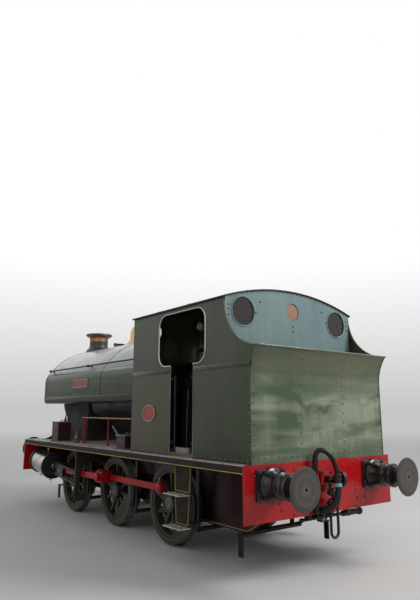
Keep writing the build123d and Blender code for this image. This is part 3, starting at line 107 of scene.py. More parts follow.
# Materials
class Wire:
    """The output of a node, to calculate with."""

    def __init__(self, web, socket):
        self.web, self.socket = web, socket

    def __add__(self, other):
        return self.web.math("ADD", self, other)

    def __sub__(self, other):
        return self.web.math("SUBTRACT", self, other)

    def __rsub__(self, other):
        return self.web.math("SUBTRACT", other, self)

    def __mul__(self, other):
        return self.web.math("MULTIPLY", self, other)

    def __abs__(self):
        return self.web.math("ABSOLUTE", self)

    def ramp(self, low, high, start=0.0, stop=1.0):
        """Goes from start to stop while this wire goes from low to high."""
        return self.web.node("MapRange", (
            ("Value", self), ("From Min", low), ("From Max", high),
            ("To Min", start), ("To Max", stop),
        ), clamp=True)

    def band(self, low, high, soft=0.001):
        """1 where this wire is between low and high."""
        return self.ramp(low - soft, low + soft) * self.ramp(high - soft, high + soft, 1.0, 0.0)


class Web:
    """Makes the nodes of one tree and wires them. Colours are three numbers in thousandths."""

    def __init__(self, tree):
        self.tree = tree
        tree.nodes.clear()

    def put(self, socket, value):
        if isinstance(value, Wire):
            self.tree.links.new(value.socket, socket)
        elif isinstance(value, tuple) and len(value) == 3 and len(socket.default_value) == 4:
            socket.default_value = (*(share / 1000 for share in value), 1)
        else:
            socket.default_value = value

    def node(self, kind, links=(), out=0, **settings):
        """A new node's output, or the node where it has none."""
        made = self.tree.nodes.new("ShaderNode" + kind)
        for key, value in settings.items():
            setattr(made, key, value)
        for socket, value in links:
            self.put(made.inputs[socket], value)
        return Wire(self, made.outputs[out]) if len(made.outputs) else made

    def math(self, operation, a, b=0.0):
        return self.node("Math", ((0, a), (1, b)), operation=operation)


class Look(Web):
    """A node material under construction. Its colour is laid on coat by coat."""

    def __init__(self, name, rough=0.5, metal=0.0, coat=0.0, coat_rough=0.1, specular=0.5):
        self.mat = bpy.data.materials.new(name)
        self.mat.use_nodes = True
        super().__init__(self.mat.node_tree)
        self.shaded = self.node("BsdfPrincipled", (
            ("Roughness", rough), ("Metallic", metal), ("Coat Weight", coat),
            ("Coat Roughness", coat_rough), ("Specular IOR Level", specular),
        ))
        self.shader = self.shaded.socket.node
        self.output = self.node("OutputMaterial", ((0, self.shaded),))
        self.place = self.node("TexCoord", out="Object")
        self.colour = None

    def axis(self, name):
        return self.node("SeparateXYZ", ((0, self.place),), name)

    def facing(self, name):
        """How far the surface faces along an axis, from -1 to 1."""
        return self.node("SeparateXYZ", ((0, self.node("TexCoord", out="Normal")),), name)

    def distance(self, a, b):
        return self.math("SQRT", a * a + b * b)

    def noise(self, scale, detail=3.0, stretch=(1, 1, 1), distort=0.0):
        spread = self.node("Mapping", (("Vector", self.place), ("Scale", stretch)))
        return self.node("TexNoise", (
            ("Vector", spread), ("Scale", scale), ("Detail", detail),
            ("Roughness", 0.55), ("Distortion", distort),
        ))

    def corner_shade(self, reach, strength=1.0):
        """Painted shade: up to strength in corners and crevices, found by ambient occlusion."""
        hidden = self.node("AmbientOcclusion", (("Distance", reach),), "AO", samples=6)
        return hidden.ramp(0.25, 0.95, strength, 0.0)

    def edges(self, radius):
        """1 along convex edges."""
        soft = self.node("Bevel", (("Radius", radius),), samples=4)
        sharp = self.node("NewGeometry", out="Normal")
        both = self.node("VectorMath", ((0, soft), (1, sharp)), "Value", operation="DOT_PRODUCT")
        return both.ramp(0.995, 0.86)

    def mix(self, share, a, b):
        return self.node("Mix", ((0, share), (6, a), (7, b)), 2,
                         data_type="RGBA", blend_type="MIX", clamp_factor=True)

    def blend(self, noise, a, b, low=0.3, high=0.7):
        """From colour a to colour b while the noise goes from low to high."""
        return self.mix(noise.ramp(low, high), a, b)

    def ground(self, *blend):
        self.colour = self.blend(*blend)

    def cover(self, share, colour):
        self.colour = self.mix(share, self.colour, colour)

    def wire(self, name, value):
        """Feeds a socket of the shader."""
        self.put(self.shader.inputs[name], value)

    def done(self, rough=None, height=None, bump=0.2, depth=0.001):
        self.wire("Base Color", self.colour)
        if rough is not None:
            self.wire("Roughness", rough)
        if height is not None:
            self.wire("Normal", self.node("Bump", (
                ("Height", height), ("Strength", bump), ("Distance", depth))))
        return self.mat

    def grained(self, grain, rough, bump, depth=0.001):
        """Done, with roughness and bump that follow one noise."""
        return self.done(grain.ramp(0.3, 0.7, *rough), grain, bump, depth)


def paint(name, fresh, faded, dirt_and_shade, rough, coat=0.25, streaks=0.35, edge_wear_and_highlight=None, edge_wear_and_highlight_share=0.5,
          corner_shade=0.14, low_dirt=None, scale=1.0, specular=0.2, tint=None):
    """Weathered gloss paint on plate: blotches, run-down streaks, painted shade in corners, worn
    edges that are also painted paler as highlights.

    low_dirt is (full below, none above, share). tint is (from X to X, from Z to Z, colour, share).
    """
    look = Look(name, coat=coat, coat_rough=0.08, specular=specular)
    fine = look.noise(45 * scale, 5)
    look.ground(look.noise(1.4 * scale, 4, (1, 1, 0.7)), fresh, faded, 0.35, 0.68)
    look.cover(fine.ramp(0.3, 0.7, 0.0, 0.25), dirt_and_shade)
    look.cover(look.noise(7 * scale, 5, (1.5, 1.5, 0.1)).ramp(0.48, 0.72, 0.0, streaks), dirt_and_shade)
    if low_dirt:
        low, high, share = low_dirt
        broken = look.noise(9 * scale, 5).ramp(0.25, 0.75, 0.4, 1.0)
        look.cover(look.axis("Z").ramp(low, high, share, 0.0) * broken, dirt_and_shade)
    # painted shade in corners and crevices
    look.cover(look.corner_shade(corner_shade), dirt_and_shade)
    # worn edges, also painted paler as edge highlights
    if edge_wear_and_highlight:
        chips_and_glints = look.noise(60 * scale, 4).ramp(0.42, 0.62, 0.0, edge_wear_and_highlight_share)
        look.cover(look.edges(0.006) * chips_and_glints, edge_wear_and_highlight)
    if tint:
        ahead, below, shade, share = tint
        look.cover(look.axis("X").ramp(*ahead) * look.axis("Z").ramp(*below) * share, shade)
    dull = look.noise(3.5 * scale, 5, (1, 1, 0.5)).ramp(0.3, 0.7, *rough)
    waves = look.noise(2.6, 2, (1, 1, 0.8)) + fine * 0.06
    return look.done(dull, waves, 0.12, 0.02)


def metal(name, bright, stain, rough, brushed=(1, 1, 1), share=0.6, metallic=1.0):
    """Bare metal with stains, fine scratches and painted shade in corners."""
    look = Look(name, metal=metallic)
    lines = look.noise(40, 4, brushed)
    look.colour = look.mix(look.noise(6, 5).ramp(0.4, 0.7, 0.0, share), bright, stain)
    look.cover(lines.ramp(0.35, 0.7, 0.0, 0.35), stain)
    # painted shade in corners
    look.cover(look.corner_shade(0.05), (20, 18, 15))
    return look.grained(lines, rough, 0.08)


def plain(name, colour, other, rough=(0.4, 0.6), scale=20.0, metallic=0.0, bump=0.1):
    """Two blotched colours with painted shade in corners."""
    look = Look(name, metal=metallic)
    blot = look.noise(scale, 5)
    look.ground(blot, colour, other)
    # painted shade in corners
    look.cover(look.corner_shade(0.04), tuple(c * 0.3 for c in other))
    return look.grained(blot, rough, bump)


def tank_look():
    """Glossy green sides with level streaks of painted reflection and a painted sky reflection
    higher up, brown towards the foot, and a crown painted pale as the sky's reflection.
    """
    look = Look("tank_green", coat=0.15, coat_rough=0.06, specular=0.12)
    height, forward = look.axis("Z"), look.axis("X")
    look.ground(look.noise(1.4, 4, (1, 1, 0.7)), (24, 38, 15), (46, 58, 32),
                0.35, 0.68)
    # painted reflections: level streaks, and the sky's reflection paler towards the top; a painted
    # highlight along the bottom strip
    level_reflections = look.noise(5, 4, (0.12, 1, 2.2), 0.6).ramp(0.42, 0.66, 0.0, 0.55)
    sky_reflection = height.ramp(2.12, 2.40, 0.0, 0.6)
    foot = height.ramp(2.06, 1.94, 0.0, 0.85)
    strip = height.band(1.925, 1.968, 0.004)
    look.cover(level_reflections, (80, 100, 62))
    look.cover(sky_reflection, (150, 165, 140))
    look.cover(foot, (30, 22, 16))
    look.cover(strip * 0.4, (130, 125, 110))
    # the crown is painted pale as the sky's reflection; its edge rises a little towards the front
    broken = (look.noise(6, 4, (0.3, 1, 1)) - 0.5) * 0.05
    crown = (height - forward * 0.0215 + broken).ramp(2.338, 2.366)
    crown_sky_sheen = look.mix(forward.ramp(0.6, 2.4), (440, 450, 450), (640, 650, 650))
    sheen_gaps = look.noise(4, 5, (0.5, 1, 1), 0.5).ramp(0.40, 0.70, 0.0, 0.45)
    look.cover(crown * 0.95, look.mix(sheen_gaps, crown_sky_sheen, (170, 180, 165)))
    look.cover(look.noise(45, 5).ramp(0.3, 0.7, 0.0, 0.2), DIRT_AND_SHADE)
    # painted shade in corners and crevices
    look.cover(look.corner_shade(0.1), DIRT_AND_SHADE)
    dull = look.noise(3.5, 5, (1, 1, 0.5)).ramp(0.3, 0.7, 0.16, 0.3)
    return look.done(dull, look.noise(2.6, 2, (1, 1, 0.8)), 0.08, 0.02)


def window_look():
    """Clear in front, smoked by dirt at the rear."""
    look = Look("window_glass", rough=0.01, specular=0.15)
    mottle = look.noise(6, 5)
    dirty = look.blend(mottle, (340, 280, 240), (220, 170, 150))
    clean = look.blend(mottle, (960, 960, 960), (860, 870, 860))
    look.colour = look.mix(look.axis("X").ramp(-2.0, -1.5), dirty, clean)
    look.wire("Transmission Weight", 1.0)
    return look.done()


def bunker_look():
    """Glossy green with painted pale reflections that lie in wavy level bands."""
    look = Look("bunker_green", coat=0.4, coat_rough=0.04, specular=0.25)
    across, height = look.axis("Y"), look.axis("Z")
    # two noises shape the painted pale reflection of the surroundings
    mottle = look.noise(2.2, 5, (0.6, 0.5, 2.6), 1.0)
    reflection_patches = look.noise(1.1, 4, (1, 0.8, 0.9), 0.4)
    level = height + (look.noise(1.7, 3, (1, 1, 0.6), 0.5) - 0.5) * 0.5
    reflection_share = mottle * 0.55 + reflection_patches * 0.45
    # where the painted reflection is stronger or weaker: across from left to right, then by height
    for value, low, high, soft, more in (
        (across, 0.80, 0.98, 0.08, 0.08), (across, 0.50, 0.66, 0.10, -0.03),
        (across, -0.15, 0.35, 0.15, 0.06), (across, -1.2, -0.25, 0.2, 0.10),
        (level, 1.88, 2.0, 0.02, 0.06), (level, 1.80, 1.87, 0.02, -0.06),
        (level, 1.58, 1.78, 0.05, 0.05), (level, 1.44, 1.56, 0.04, -0.05),
        (level, 1.28, 1.42, 0.04, 0.05),
    ):
        reflection_share += value.band(low, high, soft) * more
    upper = height.ramp(2.02, 2.14)
    olive = look.noise(1.6, 4, (0.5, 0.5, 3.0), 1.2).ramp(0.5, 0.68, 0.0, 0.6)
    green_low = height.band(1.9, 2.06, 0.05)
    foot = (height + mottle * 0.3).ramp(1.58, 1.42, 0.0, 0.55)
    runs = look.noise(16, 4, (1.5, 1.5, 0.06)).ramp(0.45, 0.7, 0.0, 0.35)
    drops = look.noise(60, 4).ramp(0.62, 0.75, 0.0, 0.4)
    look.ground(reflection_share, (50, 76, 36), (235, 252, 180), 0.41, 0.66)
    look.cover(upper * 0.8, (66, 82, 44))
    look.cover(olive * upper, (125, 112, 30))
    look.cover(green_low * 0.6, (34, 68, 30))
    look.cover(foot, (52, 82, 42))
    look.cover(runs, (60, 85, 45))
    look.cover(drops, (300, 310, 260))
    # painted shade in corners and crevices
    look.cover(look.corner_shade(0.08), DIRT_AND_SHADE)
    dull = look.noise(3, 4, (1, 0.6, 2)).ramp(0.3, 0.7, 0.12, 0.3)
    return look.done(dull, look.noise(2.0, 3, (1, 0.5, 1.6), 0.4), 0.35, 0.03)


def plate_look():
    """Running plate and valance: paler top, a painted highlight along the top edge, a yellow line
    near the lower edge.
    """
    look = Look("plate_paint", specular=0.08)
    height = look.axis("Z")
    blot = look.noise(5, 5, (1, 1, 0.4))
    look.ground(blot, (14, 11, 10), (36, 28, 26))
    look.cover(look.facing("Z").ramp(0.6, 0.9), look.blend(
        look.noise(14, 5, (1, 2, 1)), (26, 23, 23), (110, 98, 96), 0.35, 0.68))
    # painted highlight along the top edge
    rim = height.ramp(plate_z - 0.014, plate_z - 0.006)
    broken = look.noise(25, 4, (0.4, 1, 1)).ramp(0.3, 0.55, 0.35, 0.95)
    look.cover(rim * broken, (420, 350, 345))
    line = height.band(plate_lo.z + 0.008, plate_lo.z + 0.016)
    outer = abs(look.axis("Y")).ramp(plate_y - 0.002, plate_y - 0.001)
    patchy = look.noise(11, 4, (0.5, 1, 1)).ramp(0.28, 0.55, 0.35, 0.95)
    look.cover(line * outer * patchy, (480, 330, 60))
    # painted shade in corners
    look.cover(look.corner_shade(0.08, 0.8), DIRT_AND_SHADE)
    return look.grained(blot, (0.35, 0.6), 0.15, 0.004)


def cylinder_look():
    """Polished cleading round the barrel, black covers and flanges."""
    look = Look("cylinder_cleading", metal=1.0)
    start_x = axle_x[1] + cylinder_start * cos(slope)
    start_z = axle_z + cylinder_start * sin(slope)
    far = (look.axis("X") - start_x) * cos(slope) + (look.axis("Z") - start_z) * sin(slope)
    barrel = far.band(0.032, cylinder_length - 0.032) * abs(look.axis("Y")).ramp(0.735, 0.745)
    lines = look.noise(30, 4, (0.3, 3, 3))
    smears = look.noise(5, 5)
    polish = look.blend(smears, (620, 610, 580), (300, 290, 250), 0.35, 0.7)
    # painted shade in corners darkens the polish
    polish = look.mix(look.corner_shade(0.08), polish, (50, 45, 40))
    look.ground(smears, (10, 10, 11), (28, 25, 22), 0.35, 0.7)
    look.cover(barrel, polish)
    look.wire("Metallic", barrel)
    return look.done(lines.ramp(0.3, 0.7, 0.42, 0.58) - barrel * 0.22, lines, 0.05)


def tyre_look():
    """Painted outer face, a pale line at the joint, rim edges worn and also painted pale as
    highlights, bare rolled tread and flange.
    """
    look = Look("tyre_steel", specular=0.3)
    pitch = axle_x[1] - axle_x[0]
    turn = look.math("DIVIDE", look.axis("X") - (axle_x[0] - pitch / 2), pitch)
    out = look.distance((look.math("FRACT", turn) - 0.5) * pitch, look.axis("Z") - axle_z)
    noise = look.noise(20, 5)
    look.ground(noise, (170, 155, 140), (70, 58, 46), 0.35, 0.65)
    look.cover(abs(look.facing("Y")).ramp(0.8, 0.95),
               look.blend(noise, (22, 23, 16), (42, 41, 30)))
    look.cover(out.band(0.437, 0.4425) * noise.ramp(0.3, 0.55, 0.3, 0.9), (130, 135, 100))
    # worn edges, also painted pale as edge highlights
    look.cover(look.edges(0.008) * noise.ramp(0.35, 0.6, 0.2, 0.8), (170, 160, 140))
    # painted shade in corners
    look.cover(look.corner_shade(0.06), (8, 7, 6))
    return look.grained(noise, (0.3, 0.55), 0.1)


def buffer_look():
    """Greasy grey-brown head with turned rings, black painted shank."""
    look = Look("buffer_steel", metal=0.35)
    out = look.distance(abs(look.axis("Y")) - buffer_y, look.axis("Z") - buffer_z)
    blot = look.noise(9, 5)
    middle, rim = out.ramp(0.02, 0.10, 0.75, 0.0), out.ramp(0.17, 0.2, 0.0, 0.6)
    zone = out.band(0.105, 0.165, 0.012) * blot.ramp(0.35, 0.65, 0.1, 0.6)
    hole = out.ramp(0.015, 0.018, 1.0, 0.0)
    shank = abs(look.axis("X")).ramp(beam_face + 0.455, beam_face + 0.462, 1.0, 0.0)
    look.ground(blot, (62, 56, 51), (30, 27, 25))
    look.cover(middle, (120, 100, 78))
    look.cover(zone, (105, 95, 86))
    look.cover(rim, (50, 45, 42))
    look.cover(hole, (4, 4, 4))
    look.cover(shank, (12, 12, 12))
    turned = look.math("SINE", (out + look.noise(1.0, 2) * 0.004) * 900)
    return look.done(blot.ramp(0.3, 0.7, 0.32, 0.5), turned, 0.05)


def chimney_look():
    """Sooty lip, dull copper cap and black barrel, by height."""
    look = Look("chimney")
    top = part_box("chimney")[1].z
    cap = look.axis("Z").band(top - 0.155, top - 0.028, 0.003)
    blot = look.noise(8, 5, (1, 1, 0.5))
    look.ground(look.noise(5, 4), (12, 12, 12), (35, 32, 30))
    look.cover(cap, look.blend(blot, (360, 170, 85), (140, 85, 55), 0.35, 0.7))
    # painted shade in corners
    look.cover(look.corner_shade(0.12), (15, 13, 12))
    look.wire("Metallic", cap * 0.85)
    return look.grained(blot, (0.28, 0.5), 0.1, 0.002)


def box_look():
    """Maroon boxes with pale lids and feet. Those in front are taller."""
    look = Look("plate_box_paint", coat=0.1, specular=0.25)
    height = look.axis("Z")
    in_front = look.axis("X").ramp(1.2, 1.3)
    pale = height.ramp(plate_z + 0.018, plate_z + 0.022, 1.0, 0.0)
    for lid, here in ((0.328, in_front), (0.183, 1.0 - in_front)):
        lid = height.ramp(plate_z + lid, plate_z + lid + 0.004) * here
        pale = look.math("MAXIMUM", pale, lid)
    blot = look.noise(12, 5)
    look.ground(blot, (55, 12, 22), (30, 10, 14))
    look.cover(pale, look.blend(blot, (200, 200, 210), (90, 85, 85), 0.35, 0.65))
    # painted shade in corners
    look.cover(look.corner_shade(0.06), DIRT_AND_SHADE)
    return look.grained(blot, (0.3, 0.55), 0.1, 0.002)


def hose_look():
    """Black rubber wound with fine ribs that follow its height and reach."""
    look = Look("hose_rubber", rough=0.55, specular=0.3)
    ribs = (look.math("SINE", look.axis(name) * 620) for name in "ZY")
    steep = abs(look.facing("Z")).ramp(0.35, 0.75)
    blot = look.noise(18, 4)
    look.ground(blot, (6, 6, 6), (16, 15, 14))
    return look.done(blot.ramp(0.3, 0.7, 0.35, 0.6), look.mix(steep, *ribs), 0.35, 0.002)


def hook_look():
    """Oily black forging on a plate in the beam's red."""
    look = Look("drawhook", coat=0.1, specular=0.25)
    off = look.math("MAXIMUM", abs(look.axis("Y")), abs(look.axis("Z") - hook_z))
    plate = abs(look.axis("X")).ramp(3.269, 3.2705, 1.0, 0.0) * off.ramp(0.036, 0.042)
    blot = look.noise(20, 5)
    look.ground(blot, (8, 8, 8), (26, 22, 19))
    look.cover(plate, look.blend(blot, RED, (300, 10, 12)))
    # painted shade in corners
    look.cover(look.corner_shade(0.05), (12, 8, 7))
    return look.grained(blot, (0.22, 0.45), 0.12)


def steps_look():
    """Dark step plates with worn bright treads."""
    look = Look("step_paint", specular=0.1)
    tread = abs(look.axis("Y")).ramp(1.0885, 1.0895)
    blot = look.noise(30, 5, (1, 3, 1))
    look.ground(look.noise(9, 4), (12, 10, 7), (24, 22, 16))
    look.cover(tread, look.blend(blot, (750, 740, 730), (300, 280, 270), 0.35, 0.65))
    # painted shade in corners
    look.cover(look.corner_shade(0.04), DIRT_AND_SHADE)
    look.wire("Metallic", tread * 0.7)
    return look.grained(blot, (0.25, 0.45), 0.1)


def backhead_look():
    """Brass fittings, with the firehole's mouth inside its ring black with soot."""
    look = Look("backhead_brass", metal=1.0)
    out = look.distance(look.axis("Y"), look.axis("Z") - (plate_z + firehole_rise))
    inside = out.ramp(firehole_r - 0.002, firehole_r + 0.002, 1.0, 0.0)
    mouth = inside * look.axis("X").ramp(-1.212, -1.208)
    blot = look.noise(20, 5)
    look.ground(blot, (620, 420, 140), (360, 220, 80), 0.35, 0.7)
    # painted shade in corners
    look.cover(look.corner_shade(0.04), DIRT_AND_SHADE)
    look.cover(mouth, look.blend(blot, (4, 4, 4), (12, 9, 8)))
    look.wire("Metallic", 1.0 - mouth)
    dull = look.math("MAXIMUM", blot.ramp(0.3, 0.7, 0.14, 0.34), mouth * 0.9)
    return look.done(dull, blot, 0.08)


def timber_look():
    """Boards along the cab with dark gaps."""
    look = Look("floor_timber", rough=0.7)
    gap = look.math("FRACT", look.axis("Y") * 6.4).band(0.0, 0.03, 0.005)
    grain = look.noise(14, 5, (0.6, 6, 1))
    look.ground(grain, (160, 115, 75), (70, 50, 35))
    look.cover(gap, (10, 8, 6))
    return look.done(None, grain, 0.3, 0.003)


GREENS = ((33, 46, 22), (52, 64, 36))
# colour of dirt, and of the painted shade in corners
DIRT_AND_SHADE = (14, 12, 9)
RED = (440, 4, 7)
# the wear colours: worn edges, also painted paler as edge highlights
cab_finish = dict(rough=(0.14, 0.3), coat=0.3, streaks=0.3, edge_wear_and_highlight=(160, 170, 140),
                  edge_wear_and_highlight_share=0.35)

green = paint("green_paint", *GREENS, DIRT_AND_SHADE, low_dirt=(1.18, 1.5, 0.5), **cab_finish)
cab_green = paint("cab_green", *GREENS, DIRT_AND_SHADE, low_dirt=(1.18, 1.5, 0.4), **cab_finish, tint=(
    (along(1.45), along(1.6)), (2.25, 2.15), (66, 50, 26), 0.5))
# paler green for rivet heads and doorway edges: wear and painted highlights
worn_and_highlit_green = paint("worn_and_highlit_green", (110, 125, 85), (190, 195, 155), DIRT_AND_SHADE, (0.18, 0.35), coat=0.4,
                    streaks=0.1, scale=4.0, corner_shade=0.01)
black = paint("black_paint", (7, 7, 8), (15, 15, 15), (20, 17, 14), (0.22, 0.48), coat=0.06,
              streaks=0.25, edge_wear_and_highlight=(100, 90, 80))
soot = paint("smokebox_black", (13, 13, 13), (35, 33, 32), (45, 35, 28), (0.5, 0.75), coat=0.0,
             streaks=0.5)
maroon = paint("frame_paint", (34, 2, 6), (26, 4, 7), (8, 6, 5), (0.25, 0.5), coat=0.08,
               streaks=0.55, corner_shade=0.25, low_dirt=(0.3, 0.8, 0.6))
beam_red = paint("beam_red", RED, (340, 10, 12), (90, 10, 10), (0.18, 0.36), coat=0.15, streaks=0.2,
                 edge_wear_and_highlight=(300, 120, 100), corner_shade=0.08)
rod_red = paint("rod_red", (420, 4, 7), (320, 8, 10), (45, 6, 6), (0.22, 0.42), coat=0.15,
                streaks=0.1, edge_wear_and_highlight=(250, 200, 180), corner_shade=0.06, scale=2.0)
wheel_paint = paint("wheel_paint", (30, 33, 20), (45, 46, 30), (10, 8, 6), (0.28, 0.55), coat=0.05,
                    streaks=0.2, edge_wear_and_highlight=(120, 115, 100), edge_wear_and_highlight_share=0.7, corner_shade=0.07, scale=2.5)
oily = paint("oily_black", (8, 7.5, 7.5), (20, 17, 15), (14, 11, 8), (0.2, 0.5), coat=0.08,
             streaks=0.2, edge_wear_and_highlight=(140, 120, 100), edge_wear_and_highlight_share=0.7, corner_shade=0.05, scale=3.0)
housing_black = paint("housing_black", (8, 8, 9), (16, 15, 14), (20, 16, 13), (0.16, 0.36),
                      coat=0.35, streaks=0.2, edge_wear_and_highlight=(120, 110, 100), edge_wear_and_highlight_share=0.6, corner_shade=0.05,
                      scale=3.0, specular=0.25)
back_paint = paint("cab_back_paint", (132, 215, 222), (185, 258, 256), (85, 105, 92), (0.28, 0.45),
                   coat=0.1, corner_shade=0.1)
yellow = paint("lining_yellow", (550, 360, 35), (400, 270, 50), (90, 70, 30), (0.35, 0.5), coat=0.1,
               streaks=0.4, corner_shade=0.03)
roof_black = paint("roof_black", (16, 17, 16), (40, 40, 38), (50, 45, 40), (0.45, 0.7), coat=0.05,
                   streaks=0.3)
steel = metal("bright_steel", (560, 560, 540), (280, 260, 230), (0.16, 0.4), (6, 1, 1))
worn_steel = metal("worn_steel", (170, 160, 150), (45, 38, 32), (0.25, 0.5), share=0.8)
oily_steel = metal("oily_steel", (85, 80, 74), (24, 20, 16), (0.3, 0.5), share=0.8)
axle_steel = metal("axle_steel", (160, 150, 140), (50, 40, 35), (0.35, 0.6))
tread_steel = metal("tread_steel", (660, 650, 630), (340, 320, 300), (0.22, 0.4), share=0.5,
                    metallic=0.8)
brass = metal("brass", (620, 420, 140), (360, 220, 80), (0.14, 0.34), share=0.5)
copper = metal("copper", (460, 200, 100), (160, 90, 60), (0.22, 0.45), share=0.8)
plug_brown = plain("plug_brown", (300, 135, 75), (220, 100, 60))
plate_red = plain("plate_red", (340, 30, 28), (220, 28, 26), (0.3, 0.45), 30.0)
name_red = plain("name_plate_red", (220, 40, 34), (150, 32, 28), (0.3, 0.45), 30.0)
dial_white = plain("dial_white", (750, 740, 700), (620, 600, 550))
# painted highlight: the sky's glint on the metal of the hose joints, as pale blue
sky_glint_blue = plain("joint_sky_glint", (230, 360, 420), (150, 240, 280))
grey_paint = plain("grey_casting", (160, 160, 160), (80, 80, 80))
sill_pink = plain("sill_board", (220, 165, 175), (130, 100, 105), (0.5, 0.7), 9.0)
rim_pale = plain("plate_rims", (420, 310, 220), (280, 210, 150), (0.3, 0.45), 30.0, 0.4)
valve_mix = plain("valve_bronze", (190, 150, 100), (90, 80, 70), (0.3, 0.55), 25.0, 0.5)
gauge_glass = plain("gauge_glass", (300, 340, 330), (220, 250, 240), (0.05, 0.12), 8.0, 0.0, 0.0)
tank_green, bunker_green = tank_look(), bunker_look()
buffer_steel, rubber = buffer_look(), hose_look()

for look_material, names in {
    cab_green: "cab_side_left cab_side_right cab_front",
    tank_green: "saddle_tank filler_neck",
    bunker_green: "bunker_rear",
    back_paint: "cab_back",
    roof_black: "cab_roof",
    black: "boiler firebox tank_handrails tank_lid buffer_housings brake_pipes",
    soot: "smokebox smokebox_door smokebox_saddle",
    chimney_look(): "chimney",
    brass: "dome",
    backhead_look(): "backhead_fittings",
    beam_red: "buffer_beams",
    buffer_steel: "buffer_heads",
    hook_look(): "drawhooks",
    steps_look(): "cab_steps",
    oily: "screw_couplings leaf_springs brake_gear ashpan firehole_door doorway_rails",
    rubber: "brake_hoses",
    maroon: "frame_plates frame_stretchers axleboxes horn_keeps",
    plate_look(): "running_plate",
    wheel_paint: "motion_brackets wheel_centres_rear wheel_centres_driving wheel_centres_front",
    tyre_look(): "tyres_rear tyres_driving tyres_front",
    axle_steel: "axle_rear axle_driving axle_front",
    rod_red: "coupling_rod_left coupling_rod_right connecting_rod_left connecting_rod_right",
    steel: "cab_controls",
    worn_steel: "crosshead_left crosshead_right",
    oily_steel: "slide_bars",
    cylinder_look(): "cylinders",
    box_look(): "plate_boxes",
    timber_look(): "cab_floor",
    plug_brown: "cab_back_plug",
    window_look(): "cab_windows",
}.items():
    for node_name in names.split():
        mesh = nodes[node_name].data
        mesh.materials.clear()
        mesh.materials.append(look_material)


# Mesh building
class Shape:
    """Collects the parts of one piece in one mesh.

    Radii and heights of what is turned, and radii of tubes, are in millimetres.
    """

    def __init__(self):
        self.bm = bmesh.new()

    def points(self, places):
        return [self.bm.verts.new(p) for p in places]

    def lifted(self, outline, origin, u, v, lift):
        """Points of an outline in the plane of u and v, lifted off it."""
        u, v = Vector(u).normalized(), Vector(v).normalized()
        return self.points(Vector(origin) + u * a + v * b + u.cross(v) * lift for a, b in outline)

    def skin(self, loops, closed=True, caps=True):
        """Faces from loop to loop of points. A loop of one point closes an end."""
        for a, b in zip(loops, loops[1:]):
            count = max(len(a), len(b))
            for i in range(count if closed else count - 1):
                j = (i + 1) % count
                corners = (a[i % len(a)], a[j % len(a)], b[j % len(b)], b[i % len(b)])
                self.bm.faces.new(list(dict.fromkeys(corners)))
        if caps:
            self.bm.faces.new(loops[0][::-1])
            self.bm.faces.new(loops[-1])
        return self

    def block(self, centre, size, turn=None, bevel=0.003):
        matrix = Matrix.Translation(centre) @ (turn or Matrix.Identity(4))
        made = bmesh.ops.create_cube(self.bm, size=1, matrix=matrix @ Matrix.Diagonal((*size, 1)))
        if bevel:
            edges = {e for v in made["verts"] for e in v.link_edges}
            bmesh.ops.bevel(self.bm, geom=list(edges), offset=bevel, segments=2,
                            affect="EDGES", profile=0.5, clamp_overlap=True)
        return self

    def lathe(self, place, direction, profile, steps=24):
        """Turns a profile of (radius, distance along direction). Radius 0 closes an end."""
        turn = Vector(direction).to_track_quat("Z", "Y").to_matrix().to_4x4()
        matrix = Matrix.Translation(place) @ turn
        return self.skin([
            self.points(
                matrix @ Vector((*polar(radius / 1000, 2 * pi * i / steps), height / 1000))
                for i in range(steps if radius else 1))
            for radius, height in profile
        ], caps=False)

    def dome(self, place, direction, radius, height, steps=8):
        """A rivet's head."""
        profile = [(radius, -2), (radius, 0), (radius * 0.86, height * 0.55),
                   (radius * 0.5, height * 0.9), (0, height)]
        return self.lathe(place, direction, profile, steps)

    def nut(self, place, direction, radius, height):
        """Hexagon nut with its stud's end showing."""
        stud = radius * 0.4
        self.lathe(place, direction, [(radius, -2), (radius, height * 0.85),
                                      (radius * 0.86, height), (stud, height)], 6)
        return self.lathe(place, direction, [(stud, height * 0.8), (stud, height * 1.5),
                                             (0, height * 1.6)], 10)

    def tube(self, route, radius, steps=12):
        """Round tube along a route, closed at its ends."""
        route = [Vector(p) for p in route]
        side = (route[1] - route[0]).normalized().orthogonal().normalized()
        loops = []
        for i, p in enumerate(route):
            ahead = (route[min(i + 1, len(route) - 1)] - route[max(i - 1, 0)]).normalized()
            side = (side - ahead * side.dot(ahead)).normalized()
            other = ahead.cross(side)
            ring = [polar(radius / 1000, 2 * pi * k / steps) for k in range(steps)]
            loops.append(self.points(p + side * a + other * b for a, b in ring))
        return self.skin(loops)

    def slab(self, outline, origin, u, v, depth):
        """Plate of an outline in the plane of u and v, from origin outwards by depth."""
        return self.skin([self.lifted(outline, origin, u, v, lift) for lift in (0, depth)])

    def ring(self, outer, inner, origin, u, v, depth, closed=True):
        """Flat frame between two outlines of the same count, or a strip where it isn't closed."""
        loops = [self.lifted(outline, origin, u, v, lift) for outline, lift in (
            (outer, 0), (outer, depth), (inner, depth), (inner, 0))]
        self.skin(loops + loops[:1], closed, caps=False)
        if not closed:
            for i in (0, -1):
                self.bm.faces.new([loop[i] for loop in loops])
        return self

    def mesh(self, name, look_material):
        mesh = bpy.data.meshes.new(name)
        self.bm.to_mesh(mesh)
        self.bm.free()
        mesh.materials.append(look_material)
        return mesh

    def piece(self, name, look_material, slot, body="locomotive"):
        bmesh.ops.recalc_face_normals(self.bm, faces=self.bm.faces[:])
        mesh = self.mesh(name, look_material)
        mesh.polygons.foreach_set("use_smooth", [True] * len(mesh.polygons))
        mesh.set_sharp_from_angle(angle=radians(35))
        made = in_scene(name, mesh)
        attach(made, body)
        return made


def polar(radius, t):
    return radius * cos(t), radius * sin(t)


def steps_between(start, stop, pitch):
    """Even places from start to stop, about pitch apart."""
    count = max(1, round(abs(stop - start) / pitch))
    return [start + (stop - start) * i / count for i in range(count + 1)]


